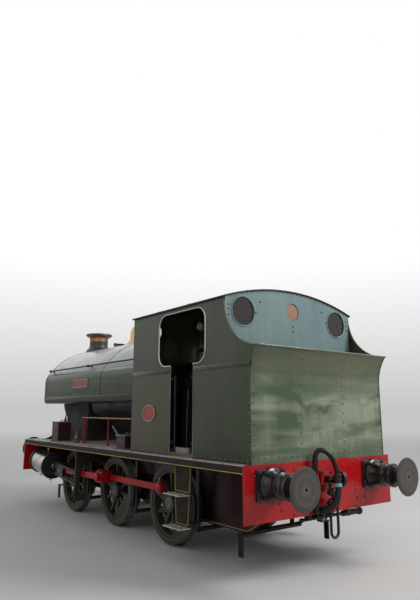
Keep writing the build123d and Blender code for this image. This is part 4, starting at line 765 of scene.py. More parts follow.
def row(a0, z0, a1, z1, pitch=0.105):
    """Even places (x, z) along a level or an upright line."""
    count = max(1, round(max(abs(a1 - a0), abs(z1 - z0)) / pitch))
    return [(along(a0 + (a1 - a0) * i / count), z0 + (z1 - z0) * i / count)
            for i in range(count + 1)]


def round_box(width, height, radius, count=6):
    """Outline of a rectangle with round corners, anticlockwise."""
    points = []
    for sx, sy, start in ((1, 1, 0), (-1, 1, 90), (-1, -1, 180), (1, -1, 270)):
        for i in range(count + 1):
            a, b = polar(radius, radians(start + 90 * i / count))
            points.append((sx * (width / 2 - radius) + a, sy * (height / 2 - radius) + b))
    return points


def ellipse(a, b, count=40):
    return [(a * cos(2 * pi * i / count), b * sin(2 * pi * i / count)) for i in range(count)]


def collar(inner, outer, length, edge):
    """Profile of a band with its edges taken off."""
    return [(inner, 0), (outer, edge), (outer, length - edge), (inner, length)]


def eased(points, radius, count=5):
    """A route with its corners rounded."""
    points = [Vector(p) for p in points]
    out = [points[0]]
    for a, b, c in zip(points, points[1:], points[2:]):
        reach = min(radius, (a - b).length * 0.45, (c - b).length * 0.45)
        start = b + (a - b).normalized() * reach
        stop = b + (c - b).normalized() * reach
        for i in range(count + 1):
            t = i / count
            out.append(start * (1 - t) ** 2 + b * (2 * t * (1 - t)) + stop * t ** 2)
    return out + [points[-1]]


def smooth(points, count=6):
    """A curve through the points."""
    points = [Vector(p) for p in points]
    points = [points[0] * 2 - points[1], *points, points[-1] * 2 - points[-2]]
    out = []
    for a, b, c, d in zip(points, points[1:], points[2:], points[3:]):
        for i in range(count):
            t = i / count
            out.append(0.5 * (b * 2 + (c - a) * t + (a * 2 - b * 5 + c * 4 - d) * t ** 2
                              + (b * 3 - a - c * 3 + d) * t ** 3))
    return out + [points[-2]]


def rounded(points, radius, count=7):
    """A flat route with true arcs at its corners."""
    out = [points[0]]
    for i in range(1, len(points) - 1):
        a, b, c = (Vector(p) for p in points[i - 1:i + 2])
        into, away = (b - a).normalized(), (c - b).normalized()
        turn = into.angle(away)
        centre = b + (away - into).normalized() * radius / cos(turn / 2)
        first = b - into * radius * tan(turn / 2) - centre
        sign = 1 if into.x * away.y > into.y * away.x else -1
        for k in range(count + 1):
            t = sign * turn * k / count
            out.append((centre.x + first.x * cos(t) - first.y * sin(t),
                        centre.y + first.x * sin(t) + first.y * cos(t)))
    return out + [points[-1]]


# Cab and bunker
bunker_top = 2.408
flare_r, flare_turn, flare_low = 0.582, radians(36.97), 2.058
back_x = along(0.43)
roof_top, roof_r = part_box("cab_roof")[1].z, 3.5
door_start, door_end = 1.03, 1.53
window_start, window_end, window_low, window_top = 0.79, 1.81, 2.28, 2.96
round_window_z, waist_z = 2.873, 2.2175
sheet_y, gutter_y = 1.118, 1.136
floor_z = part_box("cab_floor")[1].z


def roof_z(y, inset=0.0):
    return roof_top - roof_r + sqrt((roof_r - inset) ** 2 - y ** 2)


def flare(t, lift=0.0):
    """Place (x, z) on the curve of the bunker's rear plate."""
    x, z = polar(flare_r + lift, t)
    return beam_x - flare_r + x, flare_low + z


flare_turns = steps_between(0.09, flare_turn - 0.05, 0.17)
side_rivets = row(0.028, 1.27, 0.028, 2.02) + [flare(t, 0.028) for t in flare_turns]
for line in (
    (0.06, 1.205, 0.97, 1.205, 0.095), (1.59, 1.205, 2.44, 1.205, 0.095),
    (1.0, 1.30, 1.0, 2.15), (1.56, 1.30, 1.56, 2.15), (2.47, 1.30, 2.47, 2.15),
    (0.458, 2.32, 0.458, 2.98), (2.47, 2.30, 2.47, 2.98), (0.56, 2.995, 2.38, 2.995),
):
    side_rivets += row(*line)
# cab side rivets in the paler green of wear and painted highlights
rivets = Shape()
for s in BOTH:
    for x, z in side_rivets:
        rivets.dome((x, s * side_y, z), (0, s, 0), 10, 7)
rivets.piece("cab_rivets", worn_and_highlit_green, "green_paint")

rear_rivets = Shape()
for y in (-1.085, -0.37, 0.37, 1.085):
    for z in steps_between(1.26, 2.02, 0.105):
        rear_rivets.dome((beam_x, y, z), BACK, 9.5, 6.5)
    for t in flare_turns:
        x, z = flare(t)
        rear_rivets.dome((x, y, z), (-cos(t), 0, -sin(t)), 8.5, 5.5)
for y in steps_between(-1.03, 1.03, 0.1):
    rear_rivets.dome((beam_x, y, 1.235), BACK, 8.5, 5.5)
rear_rivets.piece("bunker_rivets", green, "green_paint")

# Half-round beads: waist strip, bunker's edge, window and doorway
waist = Shape()
for s in BOTH:
    for start, stop in ((0.0, door_start - 0.012), (door_end + 0.012, 2.49)):
        waist.block((along((start + stop) / 2), s * (side_y + 0.003), waist_z),
                    (stop - start, 0.012, 0.055), bevel=0.005)
        for a in steps_between(start + 0.05, stop - 0.05, 0.12):
            waist.dome((along(a), s * (side_y + 0.009), waist_z), (0, s, 0), 6, 4)
waist.piece("waist_beading", cab_green, "green_paint")

bead, hollow_r = Shape(), 0.57
bead.tube([(beam_x - 0.117, y, bunker_top) for y in (-1.12, 0, 1.12)], 11)
for s in BOTH:
    # the side sheet's hollow curve up to the roof, then the rear plate's edge
    bead.tube([(along(-0.13) + hollow_r * sin(t), s * (sheet_y - 0.002),
                bunker_top + hollow_r * (1 - cos(t))) for t in steps_between(0, pi / 2, 0.1)],
              10, 10)
    edge = [(x, s * sheet_y, z) for x, z in map(flare, steps_between(0, flare_turn, 0.08))]
    bead.tube([(beam_x, s * sheet_y, plate_z + 0.004), *edge], 7, 8)
bead.piece("bunker_beading", bunker_green, "green_paint")

window_bead, door_edges = Shape(), Shape()
opening = rounded([
    (door_end - 0.004, window_low), (window_end, window_low), (window_end, window_top),
    (window_start, window_top), (window_start, window_low), (door_start + 0.004, window_low),
], 0.16)
for s in BOTH:
    window_bead.tube([(along(a), s * (side_y + 0.001), z) for a, z in opening], 9.5, 10)
    for a in (door_start, door_end):
        door_edges.tube([(along(a), s * side_y, z) for z in (plate_z, window_low + 0.004)], 8, 8)
window_bead.piece("window_beading", steel, "bright_steel")
# doorway edges in the paler green of wear and painted highlights
door_edges.piece("doorway_edges", worn_and_highlit_green, "green_paint")

gutter, seams = Shape(), Shape()
for s in BOTH:
    edge_z = roof_z(gutter_y + 0.002) - 0.012
    gutter.tube([(x, s * gutter_y, edge_z) for x in (back_x - 0.010, cab_x + 0.026)], 11, 10)
for x in (back_x - 0.011, cab_x + 0.027):
    gutter.tube([(x, y, roof_z(y) - 0.008) for y in steps_between(-1.13, 1.13, 0.12)], 9, 8)
for a in (1.15, 1.85):
    outer = [(y, roof_z(y) + 0.003) for y in steps_between(-1.1, 1.1, 0.15)]
    seams.ring(outer, [(y, z - 0.006) for y, z in outer], (along(a), 0, 0), (0, 1, 0), UP, 0.05,
               closed=False)
gutter.piece("roof_edging", roof_black, "black_paint")
seams.piece("roof_seams", roof_black, "black_paint")

# Cab's ends: bolts, and rims of the round windows
back_bolts, rims, front_rims = Shape(), Shape(), Shape()
for y, z in ((1.06, 2.93), (1.06, 2.875), (1.06, 2.81), (0.56, 3.015), (0.635, 2.874), (0, 2.762),
             (0, 2.70)):
    for side in BOTH if y else (1,):
        back_bolts.dome((back_x, side * y, z), BACK, 12, 8, 10)
for y in steps_between(-1.02, 1.02, 0.085):
    back_bolts.dome((back_x, y, roof_z(y, 0.008) - 0.028), BACK, 6.5, 4.5)
for s in ENDS:
    rims.lathe((back_x, s * 0.835, round_window_z), BACK, [
        (171, -6), (171, 4), (176, 7), (186, 6), (189, 0), (187, -2)], 40)
    front_rims.lathe((cab_x, s * 0.82, round_window_z), (1, 0, 0), [
        (166, -6), (166, 8), (186, 8), (189, 0), (187, -2)], 36)
back_bolts.piece("cab_back_bolts", oily, "black_paint")
rims.piece("spectacle_rims", back_paint, "cab_back_paint")
front_rims.piece("front_window_rims", brass, "brass")

# Doorway boards, and plates without lettering: oval on the cab, straight on the tank
sill = Shape()
oval, oval_rim, straight, straight_rim = Shape(), Shape(), Shape(), Shape()
for s in BOTH:
    sill.block((along(1.27), s * 1.096, plate_z + 0.053), (0.28, 0.026, 0.106), bevel=0.004)
    centre = (along(2.03), s * (side_y - 0.001), 1.688)
    oval.slab(ellipse(0.150, 0.100), centre, (-s, 0, 0), UP, 0.007)
    oval_rim.ring(ellipse(0.160, 0.110), ellipse(0.146, 0.096), centre, (-s, 0, 0), UP, 0.013)
    centre = (along(4.51), s * (tank_y - 0.001), 2.18)
    straight.slab(round_box(0.62, 0.12, 0.015), centre, (-s, 0, 0), UP, 0.006)
    straight_rim.ring(round_box(0.64, 0.14, 0.02), round_box(0.616, 0.116, 0.012), centre,
                      (-s, 0, 0), UP, 0.011)
    for off in (-0.295, 0.295):
        straight_rim.dome((centre[0] + off, s * (tank_y + 0.004), 2.18), (0, s, 0), 8, 5)
sill.piece("doorway_boards", sill_pink, "floor_timber")
oval.piece("oval_plates", plate_red, "beam_red")
oval_rim.piece("oval_plate_rims", rim_pale, "brass")
straight.piece("tank_plates", name_red, "beam_red")
straight_rim.piece("tank_plate_rims", rim_pale, "brass")

# Tank: bottom strip, butt strap over the crown, end angles and their rivets
crown_z, crown_r, shoulder_r = 1.753, tank_y + 0.145, 0.22
strip_z = 1.945


def tank_outline(lift):
    """The tank's section, from the left side over the crown, lifted off it."""
    low = 1.925
    hub_y = tank_y - shoulder_r
    hub_z = crown_z + sqrt((crown_r - shoulder_r) ** 2 - hub_y ** 2)
    turn = atan2(hub_z - crown_z, hub_y)
    half = [(tank_y + lift, low), (tank_y + lift, (low + hub_z) / 2)]
    for t in steps_between(0, turn, 0.08):
        y, z = polar(shoulder_r + lift, t)
        half.append((hub_y + y, hub_z + z))
    for t in steps_between(turn, pi / 2, 0.06)[1:]:
        y, z = polar(crown_r + lift, t)
        half.append((y, crown_z + z))
    return half + [(-y, z) for y, z in reversed(half[:-1])]


def tank_rivets(shape, at, lift, pitch=0.09):
    points = [Vector(p) for p in tank_outline(lift)]
    left = pitch / 2
    for a, b in zip(points, points[1:]):
        run = (b - a).length
        while left < run:
            p = a.lerp(b, left / run)
            normal = Vector(((b - a).y, -(b - a).x)).normalized()
            if normal.dot(p - Vector((0, 1.9))) < 0:
                normal = -normal
            shape.dome((along(at), p.x, p.y), (0, normal.x, normal.y), 6.5, 4.2)
            left += pitch
        left -= run


bands, tank_dots = Shape(), Shape()
for start, width, lift in ((3.72, 0.11, 0.005), (2.505, 0.05, 0.005), (6.075, 0.05, 0.004)):
    bands.ring(tank_outline(lift), tank_outline(-0.004), (along(start), 0, 0), (0, 1, 0), UP, width,
               closed=False)
for at, lift in ((3.745, 0.0045), (3.805, 0.0045), (6.10, 0.0035), (2.53, 0.0045)):
    tank_rivets(tank_dots, at, lift)
for s in BOTH:
    bands.block(((tank_lo.x + tank_hi.x) / 2, s * (tank_y + 0.003), strip_z),
                (tank_hi.x - tank_lo.x - 0.01, 0.012, 0.045), bevel=0.004)
    for x in steps_between(tank_lo.x + 0.06, tank_hi.x - 0.06, 0.1):
        tank_dots.dome((x, s * (tank_y + 0.009), strip_z), (0, s, 0), 6.5, 4.2)
bands.piece("tank_strips", tank_green, "green_paint")
tank_dots.piece("tank_rivets", tank_green, "green_paint")

dome = Shape()
dome.lathe((along(4.215), 0, 2.918), UP, [
    (300, -60), (280, -20), (262, 4), (240, 22), (218, 48), (205, 82), (200, 120), (199, 180),
    (194, 225), (180, 265), (158, 298), (128, 325), (90, 343), (50, 352), (36, 353), (36, 362),
    (28, 370), (0, 372)], 56)
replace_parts(dome.piece("dome_casing", brass, "brass"), "dome")

# Yellow lining of frames and step plates
lining = Shape()
frame_y = 0.628
line_z, line_low = 0.628, 0.381
line_half = 0.0035
wheel_at = [x - beam_x for x in axle_x]
runs = [[(0.045, line_z), (0.205, line_z), (0.632, line_low)],
        [(6.455, line_z), (6.295, line_z), (5.868, line_low)]]
stops = [0.632 - 0.17, *wheel_at, 5.868 + 0.17]
runs += [[(a + 0.17, line_low), (b - 0.17, line_low)] for a, b in zip(stops, stops[1:])]
step_y = 1.088
step_x = along((door_start + door_end) / 2)
for s in BOTH:
    for run in runs:
        for (a, z), (b, w) in zip(run, run[1:]):
            across = Vector((z - w, b - a)).normalized() * line_half
            quad = [(a + across.x, z + across.y), (b + across.x, w + across.y),
                    (b - across.x, w - across.y), (a - across.x, z - across.y)]
            lining.slab([(-s * (p + beam_x), q) for p, q in quad], (0, s * frame_y, 0),
                        (-s, 0, 0), UP, 0.0012)
    for top, low, top_half, low_half in (
        (1.070, 0.775, 0.185, 0.171), (0.735, 0.408, 0.169, 0.141),
    ):
        outer = [(top_half - 0.018, top), (-top_half + 0.018, top),
                 (-low_half + 0.018, low), (low_half - 0.018, low)]
        inner = [(x - 0.008 * (1 if x > 0 else -1), z - 0.008 * (1 if z == top else -1))
                 for x, z in outer]
        lining.ring(outer, inner, (step_x, s * step_y, 0), (-s, 0, 0), UP, 0.0012)
lining.piece("yellow_lining", yellow, "plate_paint")

# Step treads: raised pattern, worn outer edge, and a black disc painted as the shade in the lower
# plate's hole
treads, hole_shades = Shape(), Shape()
for s in BOTH:
    for z in (0.758, 0.395):
        for i, dx in enumerate(steps_between(-0.15, 0.15, 0.05)):
            for j, dy in enumerate((0.03, 0.08, 0.13)):
                turn = Matrix.Rotation(radians(45 if (i + j) % 2 else -45), 4, "Z")
                treads.block((step_x + dx, s * (step_y + dy), z + 0.0010), (0.034, 0.008, 0.005),
                             turn, 0.0015)
        treads.block((step_x, s * (step_y + 0.1555), z + 0.0005), (0.346, 0.008, 0.005),
                     bevel=0.0015)
    # a black disc stands for the hole: painted shade
    hole_shades.lathe((step_x, s * (step_y + 0.0003), 0.57), (0, s, 0), [
        (22, 0), (20, 1.2), (0, 1.2)], 16)
treads.piece("step_treads", tread_steel, "bright_steel")
hole_shades.piece("step_hole_shades", soot, "black_paint")

# Rods, pipe, valve and lever on the running plate
rods, pipe, valves, levers = Shape(), Shape(), Shape(), Shape()
post_profile = [
    (0, 0), (34, 0), (34, 8), (18, 14), (18, 30), (11, 36), (11, 385), (20, 392), (24, 405),
    (20, 420), (0, 420)]
valve_profile = [
    (0, 0), (52, 0), (52, 14), (30, 20), (28, 50), (44, 62), (48, 85), (44, 104), (24, 116),
    (22, 150), (34, 156), (34, 172), (10, 178), (10, 196), (0, 196)]
lever_outline = [
    (-0.245, -0.020), (0.17, -0.012), (0.25, -0.011), (0.25, 0.011), (0.17, 0.012),
    (-0.245, 0.020)]
pipe_z, post_y = plate_z + 0.422, 0.9
valve_x, valve_y, lever_turn = along(4.725), 0.93, radians(35)


def on_valve(s, radius, t, rise):
    """A place round the valve's stem on side s."""
    x, y = polar(radius, t)
    return valve_x + x, s * valve_y + y, plate_z + rise


for s in BOTH:
    y = s * post_y
    for at in (3.62, 4.51):
        rods.lathe((along(at), y, plate_z), UP, post_profile, 14)
    pipe.tube([(cab_x + 0.002, y, pipe_z), (along(4.57), y, pipe_z)], 14)
    for at in (2.56, 3.62, 4.06, 4.51, 4.56):
        pipe.lathe((along(at) - 0.014, y, pipe_z), (1, 0, 0), collar(14, 21, 28, 2), 6)
    valves.lathe(on_valve(s, 0, 0, 0), UP, valve_profile, 20)
    valves.tube(eased([on_valve(s, 0, 0, 0.085), (valve_x, s * 0.775, plate_z + 0.085),
                       (valve_x, s * 0.775, plate_z - 0.002)], 0.05), 17)
    valves.tube([on_valve(s, 0.040, t, 0.199) for t in steps_between(0, 2 * pi, 0.4)], 5.2, 8)
    for spoke in range(3):
        t = spoke * 2 * pi / 3
        valves.tube([on_valve(s, 0, t, 0.196), on_valve(s, 0.038, t, 0.198)], 4, 6)
    for corner in range(4):
        valves.nut(on_valve(s, 0.041, pi / 4 + corner * pi / 2, 0.014), UP, 7, 6)
    ahead = Vector((cos(lever_turn), 0, sin(lever_turn)))
    over = Vector((-sin(lever_turn), 0, cos(lever_turn)))
    centre = Vector((along(3.27), y, plate_z + 0.163))
    levers.slab(lever_outline, centre + Vector((0, 0.007, 0)), ahead, over, 0.014)
    levers.block((along(3.095), y, plate_z + 0.03), (0.088, 0.048, 0.058), bevel=0.006)
    levers.lathe(centre - ahead * 0.215 - Vector((0, 0.020, 0)), (0, 1, 0), [
        (0, 0), (14, 0), (14, 40), (0, 40)], 12)
    levers.tube([centre + ahead * 0.17, centre + ahead * 0.245], 14, 10)
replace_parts(rods.piece("plate_rods", rod_red, "rod_red"), "footplate_fittings")
pipe.piece("delivery_pipes", copper, "brass")
valves.piece("plate_valves", valve_mix, "brass")
levers.piece("plate_levers", grey_paint, "plate_paint")

# Lids of the boxes on the running plate: hinge barrels and handles
box_bits = Shape()
for s in BOTH:
    for at, inset, width, height in ((5.35, 0.26, 0.24, 0.330), (2.85, 0.235, 0.21, 0.185)):
        x, y, z = along(at), s * (1.22 - inset), plate_z + height + 0.016
        hinge_y = y - s * (width / 2 + 0.010)
        for dx in (-0.08, 0.08):
            box_bits.tube([(x + dx + half, hinge_y, z - 0.002) for half in (-0.025, 0.025)], 7, 8)
        box_bits.tube(eased([(x + dx, y, z + dz) for dx, dz in (
            (-0.045, -0.002), (-0.045, 0.026), (0.045, 0.026), (0.045, -0.002))], 0.02), 6, 8)
box_bits.piece("box_fittings", oily, "black_paint")

# Cylinders: cover nuts, gland, bands, drain cocks and lubricator
motion_ahead = Vector((cos(slope), 0, sin(slope)))
motion_up = Vector((-sin(slope), 0, cos(slope)))
cover_r, barrel_r, bracket_x = 0.2085, 0.212, along(4.355)
gland_profile = [(34.5, 0), (62, 0), (62, 14), (50, 18), (50, 34), (34.5, 36), (34.5, 0)]
cock_profile = [
    (0, 0), (16, 0), (16, 12), (9, 16), (9, 36), (13, 40), (13, 54), (6, 60), (6, 85), (0, 85)]
lubricator_profile = [
    (0, 0), (20, 0), (20, 8), (11, 12), (11, 26), (26, 32), (26, 58), (12, 66), (0, 68)]


def on_motion(y, reach, up=0.0):
    """A place ahead of the driving axle along the cylinder's line, or up off it."""
    return Vector((axle_x[1], y, axle_z)) + motion_ahead * reach + motion_up * up


nuts, glands, cocks, cyl_bands, bar_nuts = Shape(), Shape(), Shape(), Shape(), Shape()
for s in BOTH:
    start = on_motion(s * motion_y, cylinder_start)
    for i in range(12):
        y, up = polar(cover_r, (i + 0.5) * pi / 6)
        out = Vector((0, y, 0)) + motion_up * up
        nuts.nut(start + motion_ahead * cylinder_length + out, motion_ahead, 15, 14)
        nuts.nut(start + out, -motion_ahead, 15, 14)
    glands.lathe(start - motion_ahead * 0.03, -motion_ahead, gland_profile, 20)
    for up in (-0.056, 0.056):
        glands.nut(start - motion_ahead * 0.044 + motion_up * up, -motion_ahead, 9, 12)
    for reach in (0.032, 0.583):
        band_start = start + motion_ahead * reach
        cyl_bands.lathe(band_start, motion_ahead, collar(213, 216.5, 25, 1), 40)
    for reach in (0.075, 0.565):
        place = start + motion_ahead * reach - motion_up * barrel_r
        cocks.lathe(place, -motion_up, cock_profile, 12)
        cocks.tube([place - motion_up * 0.047 + Vector((0, dy, 0)) for dy in (0, s * 0.05)], 4, 6)
    middle_top = start + motion_ahead * (cylinder_length / 2) + motion_up * barrel_r
    cocks.lathe(middle_top, motion_up, lubricator_profile, 16)
    # slide bars and motion bracket
    for y in (0.921, 1.019):
        for reach in (0.925, 2.025):
            for up in ENDS:
                bar_nuts.nut(on_motion(s * y, reach, up * 0.115), motion_up * up, 13, 10)
    for y, heights in ((0.668, (1.0, 1.10)), (1.06, (0.40, 0.62, 0.86, 1.08))):
        for z in heights:
            bar_nuts.nut((bracket_x, s * y, z), BACK, 12, 10)
nuts.piece("cylinder_nuts", oily, "black_paint")
glands.piece("piston_glands", steel, "bright_steel")
cocks.piece("cylinder_cocks", brass, "brass")
cyl_bands.piece("cylinder_bands", steel, "bright_steel")
bar_nuts.piece("motion_bolts", oily, "black_paint")


# Oil cups and end caps on the rods
def crank_pin(x, y, side):
    a, b = polar(crank_throw, crank_angles[side])
    return Vector((x + a, y, axle_z + b))


for s, side in SIDES:
    out = Vector((0, s, 0))
    cups, big_end, strap, head = Shape(), Shape(), Shape(), Shape()
    for x in axle_x:
        pin = crank_pin(x, s * 0.854, side)
        cups.lathe(pin + Vector((0, 0, 0.1185)), UP, [
            (0, -1), (14, -1), (14, 4), (10, 10), (6, 15), (0, 16)], 12)
    cups.piece(f"coupling_oil_cups_{side}", brass, "brass", f"{side}_coupling_rod")

    # where the connecting rod points, and how far ahead its gudgeon pin is
    pin_ahead, pin_up = polar(crank_throw, crank_angles[side] - slope)
    gudgeon = on_motion(s * motion_y, pin_ahead + sqrt(rod_length ** 2 - pin_up ** 2))
    aim = slope + asin(-pin_up / rod_length)
    rod_ahead = Vector((cos(aim), 0, sin(aim)))
    rod_up = Vector((-sin(aim), 0, cos(aim)))
    big = crank_pin(axle_x[1], s * motion_y, side)
    big_end.lathe(big + rod_ahead * 0.02 + rod_up * 0.110, rod_up, [
        (0, -1), (16, -1), (16, 6), (10, 13), (0, 16)], 12)
    big_end.piece(f"big_end_cup_{side}", brass, "brass", f"{side}_connecting_rod")
    for dx in (-0.085, 0.085):
        for up in (-0.06, 0.06):
            strap.nut(big + out * 0.038 + rod_ahead * dx + rod_up * up, out, 11, 9)
    strap.lathe(big + out * 0.085, out, [
        (56, -2), (56, 0), (48, 4), (20, 5), (18, 10), (0, 11)], 24)
    strap.block(big + out * 0.040 + rod_ahead * 0.062, (0.014, 0.010, 0.130),
                Matrix.Rotation(-aim, 4, "Y"), 0.002)
    strap.piece(f"big_end_bolts_{side}", rod_red, "rod_red", f"{side}_connecting_rod")

    head.lathe(gudgeon + out * 0.0645, out, [
        (0, 0), (36, 0), (36, 4), (22, 5), (22, 11), (0, 12)], 20)
    for dx in (-0.11, 0.11):
        head.nut(gudgeon + out * 0.0645 + motion_ahead * dx, out, 10, 8)
    head.piece(f"crosshead_nuts_{side}", steel, "bright_steel", f"{side}_crosshead")

# Wheel centres: axle ends and crank pin caps
for name, x in zip(("rear", "driving", "front"), axle_x):
    ends, caps = Shape(), Shape()
    for s, side in SIDES:
        ends.lathe((x, s * 0.822, axle_z), (0, s, 0), [
            (78, -1), (78, 1), (74, 2.2), (16, 2.2), (12, 0.5), (0, 0.5)], 32)
        if name != "driving":
            caps.lathe(crank_pin(x, s * 0.889, side), (0, s, 0), [
                (56, -1), (56, 1), (50, 3.5), (22, 4), (18, 6.5), (0, 7)], 20)
    ends.piece(f"axle_ends_{name}", axle_steel, "axle_steel", f"{name}_wheelset")
    if name != "driving":
        caps.piece(f"crank_pin_caps_{name}", rod_red, "rod_red", f"{name}_wheelset")

# Beams: rivets, buffer nuts and drawhook nuts
beam_dots, beam_nuts = Shape(), Shape()
beam_rivets = [
    (1.114, 1.11), (1.088, 1.071), (0.5, 1.103), (0.675, 1.127), (0.7, 0.7), (0.521, 0.63),
    (0.735, 0.766), (-0.33, 1.095), (-0.573, 1.14), (-0.499, 1.122), (-0.538, 0.871),
    (-0.532, 0.807), (-0.56, 0.718), (-0.528, 0.628), (-0.739, 0.785), (-0.703, 0.712)]
for end in ENDS:
    for y, z in beam_rivets:
        beam_dots.dome((end * beam_face, y, z), (end, 0, 0), 15.5, 12, 12)
    for x, y, z, dy, dz, radius, height in (
        (3.276, buffer_y, buffer_z, 0.165, 0.12, 21, 16),
        (3.276, -buffer_y, buffer_z, 0.165, 0.12, 21, 16),
        (3.268, 0, hook_z, 0.07, 0.07, 14, 12),
    ):
        for a in ENDS:
            for b in ENDS:
                beam_nuts.nut((end * x, y + a * dy, z + b * dz), (end, 0, 0), radius, height)
beam_dots.piece("beam_rivets", beam_red, "beam_red")
beam_nuts.piece("buffer_nuts", oily, "black_paint")

# Screw couplings: hook pin, trunnions, links, screw, hanging link and chain
coupling = Shape()
nut_z, link_z, link_y, chain_y = 0.835, 0.715, 0.054, 0.060
trunnion_profile = [
    (0, 0), (18, 0), (22, 4), (22, 50), (33, 56), (34, 88), (33, 120), (22, 126), (22, 172),
    (18, 176), (0, 176)]
thread = [point for i in range(20) for point in ((18.5, 10.5 * i - 45), (22.5, 10.5 * i - 40))]
for end in ENDS:
    x = end * 3.355
    coupling.tube([(x, -0.082, hook_z), (x, 0.082, hook_z)], 20.5, 16)
    for z in (nut_z, link_z):
        coupling.lathe((x, -0.088, z), (0, 1, 0), trunnion_profile, 20)
    for s in ENDS:
        coupling.tube([(x, s * link_y, hook_z), (x, s * link_y, nut_z)], 14)
        for z in (hook_z, nut_z, link_z):
            coupling.lathe((x, s * link_y - 0.013, z), (0, 1, 0), collar(21, 32, 26, 2), 18)
    coupling.lathe((x, 0, link_z), UP, [(0, -45), *thread, (18.5, 165), (0, 165)], 14)
    loop = [(x, chain_y * cos(t), link_z - 0.295 - chain_y * sin(t))
            for t in steps_between(0, pi, 0.3)]
    coupling.tube([(x, chain_y, link_z), *loop, (x, -chain_y, link_z)], 15.5, 14)
    coupling.tube(smooth([(x - end * back, y, z) for back, y, z in (
        (0, 0, 0.775), (0.03, 0.06, 0.745), (0.03, 0.12, 0.675), (0.02, 0.155, 0.610))]), 10, 10)
    coupling.lathe((x - end * 0.02, 0.156, 0.632), (0, 0.25, -1), [
        (0, 0), (18, 4), (26, 18), (27, 34), (19, 50), (0, 55)], 16)
    coupling.tube(smooth([(end * x, y, z) for x, y, z in (
        (3.268, 0.20, 0.66), (3.29, 0.19, 0.59), (3.30, 0.14, 0.535), (3.31, 0.09, 0.56),
        (3.335, 0.065, 0.66))]), 9, 8)
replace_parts(coupling.piece("couplings", oily, "black_paint"), "screw_couplings")

# Pipe on two hangers behind the foot of the rear beam
cross_pipe = Shape()
cross_x = -3.165
cross_pipe.lathe((cross_x, 0.34, 0.545), (0, -1, 0), [
    (0, 0), (24, 0), (24, 30), (18, 34), (18, 700), (30, 705), (34, 720), (34, 800), (38, 805),
    (38, 830), (34, 835), (34, 1000), (44, 1005), (44, 1035), (0, 1040)], 20)
for y in (0.24, -0.42):
    cross_pipe.block((cross_x - 0.020, y, 0.600), (0.066, 0.050, 0.110), bevel=0.003)
cross_pipe.piece("rear_cross_pipe", oily, "black_paint")

# Buffers: housing with four webs, turned head
housings, heads = Shape(), Shape()
housing_profile = [
    (100, 24), (170, 24), (172, 46), (164, 56), (146, 64), (136, 85), (126, 125), (122, 160),
    (124, 168), (138, 174), (142, 186), (138, 200), (122, 208), (114, 225), (112, 262),
    (116, 270), (134, 276), (138, 290), (138, 312), (132, 322), (112, 330), (92, 341), (66, 341)]
web_outline = [
    (0.110, 0.024), (0.196, 0.024), (0.196, 0.036), (0.142, 0.168), (0.142, 0.190), (0.110, 0.190)]
head_profile = [
    (64, 336), (64, 440), (70, 450), (100, 462), (170, 471), (204, 476), (214, 481), (217, 487),
    (214, 492.5), (205, 495.5), (150, 499.5), (146, 499), (100, 502), (96, 501.5), (60, 504),
    (30, 504.5), (26, 503), (16.5, 503.5), (15.5, 498), (15, 470), (0, 470)]
for end in ENDS:
    outwards = Vector((end, 0, 0))
    for s in BOTH:
        centre = Vector((end * beam_face, s * buffer_y, buffer_z))
        housings.block(centre + outwards * 0.0135, (0.025, 0.4, 0.31), bevel=0.005)
        housings.lathe(centre, outwards, housing_profile, 40)
        for i in range(4):
            ray = Vector((0, *polar(1, pi / 4 + i * pi / 2)))
            housings.slab(web_outline, centre - ray.cross(outwards) * 0.008, ray, outwards, 0.016)
        heads.lathe(centre, outwards, head_profile, 48)
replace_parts(housings.piece("buffer_casings", housing_black, "black_paint"), "buffer_housings")
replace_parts(heads.piece("buffer_discs", buffer_steel, "buffer_steel"), "buffer_heads")

# Brake pipes and hoses. Routes are in millimetres outwards from the beam, from the middle and up
pipes, hoses, hose_bits, blue_bits = Shape(), Shape(), Shape(), Shape()
pipe_route = [(66, 240, 628), (66, 240, 950), (66, 240, 1160), (74, 236, 1245), (110, 205, 1297),
              (160, 150, 1272), (200, 103, 1205), (224, 80, 1115), (232, 72, 1045), (232, 72, 978)]
hose_route = [(232, 72, 982), (236, 68, 930), (236, 68, 880), (228, 78, 800), (204, 98, 735),
              (165, 128, 688), (118, 152, 664), (64, 166, 652)]
joint_x, joint_y, riser_x, riser_y = 3.482, 0.072, 3.316, 0.24
for end in ENDS:
    for shape, route, radius, steps in ((pipes, pipe_route, 29, 14), (hoses, hose_route, 36, 16)):
        places = [(end * (beam_face + x / 1000), y / 1000, z / 1000) for x, y, z in route]
        shape.tube(smooth(places), radius, steps)
    # collars in pale blue: painted highlight of the sky on metal
    blue_bits.lathe((end * 3.4845, 0.0695, 0.912), UP, collar(35.5, 43, 40, 4), 20)
    pipes.lathe((end * joint_x, joint_y, 0.976), UP, [
        (34, 0), (46, 3), (46, 66), (40, 72), (29, 74)], 20)
    pipes.lathe((end * 3.350, 0.158, 0.658), (-end * 0.967, 0.25, -0.04), [
        (34, 0), (47, 3), (47, 32), (36, 36), (30, 60)], 20)
    pipes.block((end * 3.264, 0.172, 0.646), (0.028, 0.062, 0.062), bevel=0.004)
    for z in (0.728, 1.088):
        pipes.block((end * 3.283, riser_y, z), (0.066, 0.064, 0.034), bevel=0.004)
    for x, y, heights, profile, steps in (
        (joint_x, joint_y, (0.983, 1.030), collar(45.5, 49.5, 12, 2), 20),
        (riser_x, riser_y, (0.711, 1.071), collar(27.5, 34, 34, 1), 20),
        (riser_x, riser_y, (0.80, 1.15), collar(27.5, 37, 32, 4), 6),
    ):
        for z in heights:
            hose_bits.lathe((end * x, y, z), UP, profile, steps)
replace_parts(pipes.piece("swan_necks", oily, "black_paint"), "brake_pipes")
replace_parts(hoses.piece("brake_hose_covers", rubber, "hose_rubber"), "brake_hoses")
hose_bits.piece("brake_pipe_unions", oily, "black_paint")
